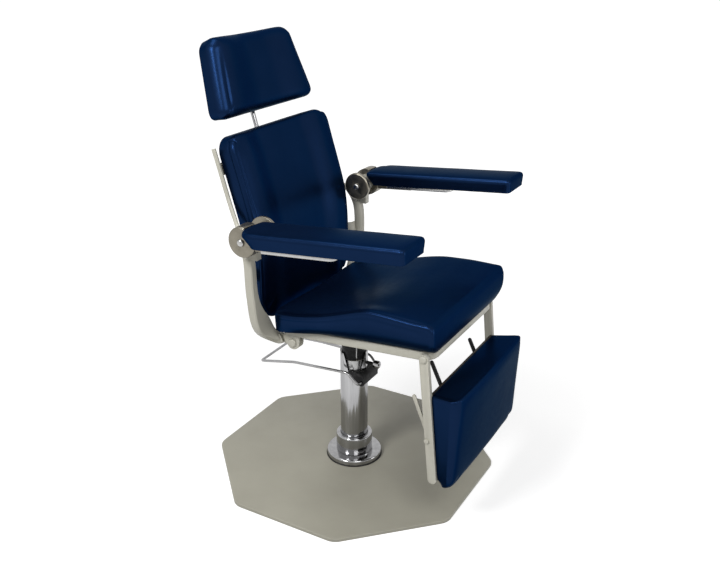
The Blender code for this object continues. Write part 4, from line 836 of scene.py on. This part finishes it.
def make_headrest():
    """Head rest cushion, narrower at its top, with raised wings and a tuck beside each."""
    middle = (HEAD_LOW + HEAD_HIGH) / 2
    length = (HEAD_HIGH - HEAD_LOW) / 2

    def half_at(v):
        return HEAD_HALF_LOW + (HEAD_HALF_HIGH - HEAD_HALF_LOW) * (v + 1.0) / 2

    def plan(u, v, w):
        half = half_at(v)
        radius = HEAD_FOOT_R if v < 0 else HEAD_CORNER_R
        x, up = round_corner(u * half, v * length, half, length, radius)
        draw = HEAD_DRAW * (1.0 - w)
        return x * (1.0 - draw / half), up * (1.0 - draw / length) + middle

    def rise(u, v, w):
        half = half_at(v)
        wing = ease((abs(u) - HEAD_BOLSTER_FROM) / (HEAD_BOLSTER_TO - HEAD_BOLSTER_FROM))
        edge = HEAD_EDGE + (HEAD_TOP_EDGE - HEAD_EDGE) * (v + 1.0) / 2
        thick = HEAD_T + HEAD_BOLSTER * wing - roll_off(u * half, v * length, half, length, edge)
        return HEAD_REAR - thick * w

    def rim(u, v, w):
        away = (np.abs(u) - TUCK_AT) * half_at(v)
        along = smooth((v - TUCK_FROM) / TUCK_IN_RUN) * (1.0 - smooth((v - TUCK_FADE_FROM) / TUCK_FADE_RUN))
        return hollow(away, TUCK_DEPTH, TUCK_WIDTH) * along * (w > FRONT_LAYER)

    pad = pad_grid("headrest_cover", HEAD_GRID, plan, rise, standing(tilted(ROD_ORIGIN, BACK_LEAN)))
    swell(pad, SWELL_CAP)
    finish_pad(pad, "headrest_cushion", "head", rim)


def make_arm(name, side):
    """One arm pad with a raked heel against its drum."""
    mirrored = Matrix.Scale(side, 4, (1.0, 0.0, 0.0)) @ tilted(ARM_ORIGIN, ARM_PITCH)
    half = (PAD_X[1] - PAD_X[0]) / 2
    length = (PAD_REAR - PAD_FRONT) / 2

    def plan(u, v, w):
        heel = u > 0.0 and v > 0.0
        x, y = round_corner(u * half, v * length, half, length, PAD_HEEL_R if heel else PAD_CORNER_R)
        draw = PAD_DRAW * (1.0 - w)
        y = y * (1.0 - draw / length) - PAD_RAKE * (1.0 - w) * ease(2.0 * v - 1.0)
        return PAD_X[0] + half + x * (1.0 - draw / half), PAD_FRONT + length + y

    def rise(u, v, w):
        fall = roll_off(u * half, v * length, half, length, PAD_EDGE)
        return PAD_LOW + (PAD_T - PAD_CROWN * u * u - fall) * w

    pad = pad_grid("arm_cover_" + name, ARM_GRID, plan, rise, lying(mirrored))
    swell(pad, ARM_SWELL_CAP)
    finish_pad(pad, "arm_pad_" + name, "arm_" + name)


def make_legrest():
    """Leg rest pad, thick at the top and thin at the toe."""
    middle = (LEG_PAD_TOP + LEG_PAD_LOW) / 2
    length = (LEG_PAD_TOP - LEG_PAD_LOW) / 2

    def plan(u, v, w):
        radius = LEG_CORNER_R if v < 0 else LEG_TOP_R
        x, up = round_corner(u * LEG_PAD_HALF, v * length, LEG_PAD_HALF, length, radius)
        draw = LEG_PAD_DRAW * (1.0 - w)
        return x * (1.0 - draw / LEG_PAD_HALF), up * (1.0 - LEG_END_DRAW * draw / length) + middle

    def rise(u, v, w):
        thick = LEG_PAD_THIN + (LEG_PAD_THICK - LEG_PAD_THIN) * (v + 1.0) / 2
        thick -= LEG_TOE_DROP * ease((-v - LEG_TOE_FROM) / (1.0 - LEG_TOE_FROM))
        side = LEG_EDGE * thick / LEG_PAD_THICK
        thick += LEG_PAD_CROWN * (1.0 - u * u) * (v + LEG_CROWN_REACH) / (1.0 + LEG_CROWN_REACH)
        across = LEG_TOP_EDGE if v > 0 else LEG_TOE_EDGE
        thick -= two_rolls(u * LEG_PAD_HALF, v * length, LEG_PAD_HALF, length, side, across)
        return LEG_REAR - thick * w

    pad = pad_grid("legrest_cover", LEG_GRID, plan, rise, standing(tilted(LEG_ORIGIN, LEG_LEAN)))
    swell(pad, SWELL_CAP)
    finish_pad(pad, "legrest_pad", "legrest")


def hand_over(piece, slot, body):
    """Give a small hard piece its finish and let it ride a body."""
    piece.data.shade_smooth()
    piece.data.materials.append(FINISHES[slot].material)
    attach(piece, body)


def make_contact_shade_bead():
    """Thin black bead where the column's flange stands on the floor plate, as painted contact shade."""
    bm = bmesh.new()
    rings = []
    for i in range(SHADE_BEAD_POINTS):
        turn = Matrix.Rotation(2.0 * math.pi * i / SHADE_BEAD_POINTS, 4, "Z")
        ring = []
        for j in range(SHADE_BEAD_SIDES):
            angle = 2.0 * math.pi * j / SHADE_BEAD_SIDES
            out = SHADE_BEAD_R + SHADE_BEAD_THICK * math.cos(angle)
            ring.append(bm.verts.new(turn @ Vector((out, 0.0, SHADE_BEAD_Z + SHADE_BEAD_THICK * math.sin(angle)))))
        rings.append(ring)
    for ring, after in zip(rings, rings[1:] + rings[:1]):
        for j in range(SHADE_BEAD_SIDES):
            k = (j + 1) % SHADE_BEAD_SIDES
            bm.faces.new((ring[j], after[j], after[k], ring[k]))
    # The bead is black rubber in name only: it paints the dark contact shade round the flange's foot
    hand_over(placed("flange_contact_shade", bm), "black", "base")


def add_screw(bm, place, axis, radius, height):
    """One domed socket screw that stands on a face."""
    turned = Matrix.Translation(place) @ Vector(axis).to_track_quat("Z", "Y").to_matrix().to_4x4()

    def ring(share, level, hexagon=False):
        made = []
        for i in range(SCREW_POINTS):
            angle = 2.0 * math.pi * i / SCREW_POINTS
            off = (angle + math.pi / 6) % (math.pi / 3) - math.pi / 6
            reach = radius * share / (math.cos(off) if hexagon else 1.0)
            spot = Vector((reach * math.cos(angle), reach * math.sin(angle), level))
            made.append(bm.verts.new(turned @ spot))
        return made

    rings = [ring(1.0, -SCREW_SUNK)] + [ring(share, level * height) for share, level in SCREW_SHAPE]
    rings += [ring(SOCKET_SHARE, height, True), ring(SOCKET_SHARE, SOCKET_FLOOR * height, True)]
    for low, high in zip(rings, rings[1:]):
        for i in range(SCREW_POINTS):
            j = (i + 1) % SCREW_POINTS
            bm.faces.new((low[i], low[j], high[j], high[i]))
    bm.faces.new(rings[0][::-1])
    bm.faces.new(rings[-1])


def screws(name, body, spots, size):
    """A set of steel socket screws at (place, axis) that rides one body."""
    bm = bmesh.new()
    for place, axis in spots:
        add_screw(bm, place, axis, *size)
    made = placed(name, bm)
    hand_over(made, "steel", body)
    made.data.set_sharp_from_angle(angle=SCREW_SHARP)


def in_frame(frame_of, axis, places):
    """Places and axis of a frame as spots for screws in the chair."""
    turn = frame_of.to_3x3()
    return [(frame_of @ Vector(place), turn @ Vector(axis)) for place in places]


def make_screws():
    """Screws that hold the boards, plates and pads to their bars."""
    places = [(x, LEG_SCREW_Y, z) for x in LEG_SCREW_X for z in LEG_SCREW_Z]
    leg = tilted(LEG_ORIGIN, LEG_LEAN)
    screws("legrest_screws", "legrest", in_frame(leg, REARWARDS, places), LEG_SCREW)

    places = [(x, HEAD_SCREW_Y, up) for x in HEAD_SCREW_X for up in HEAD_SCREW_UP]
    rod = tilted(ROD_ORIGIN, BACK_LEAN)
    screws("headrest_screws", "head", in_frame(rod, REARWARDS, places), HEAD_SCREW)

    places = [(x, y, SEAT_SCREW_Z) for x in SEAT_SCREW_X for y in SEAT_SCREW_Y]
    seat = tilted(SEAT_ORIGIN, SEAT_TILT)
    screws("seat_screws", "seat", in_frame(seat, DOWN, places), SEAT_SCREW)

    places = [(x, y, MOUNT_SCREW_Z) for x in MOUNT_SCREW_X for y in MOUNT_SCREW_Y]
    screws("mount_screws", "seat", in_frame(seat, DOWN, places), MOUNT_SCREW)

    arm = tilted(ARM_ORIGIN, ARM_PITCH)
    for name, side in ARM_SIDES:
        places = [(side * x, y, ARM_SCREW_Z) for x in ARM_SCREW_X for y in ARM_SCREW_Y]
        screws("arm_screws_" + name, "arm_" + name, in_frame(arm, DOWN, places), ARM_SCREW)

    spots = []
    for s, out in BACK_SCREW_ROWS:
        lean = spine_lean(s)
        axis = (0.0, math.cos(lean), -math.sin(lean))
        spots += [(on_spine(x, s, out), axis) for x in BACK_SCREW_X]
    screws("back_screws", "back", spots, BACK_SCREW)


make_floor()
make_world()
make_lamps()
make_camera()
dress_nodes()
make_seat()
make_back()
make_headrest()
for arm_name, arm_side in ARM_SIDES:
    make_arm(arm_name, arm_side)
make_legrest()
make_contact_shade_bead()
make_screws()

bpy.context.view_layer.update()
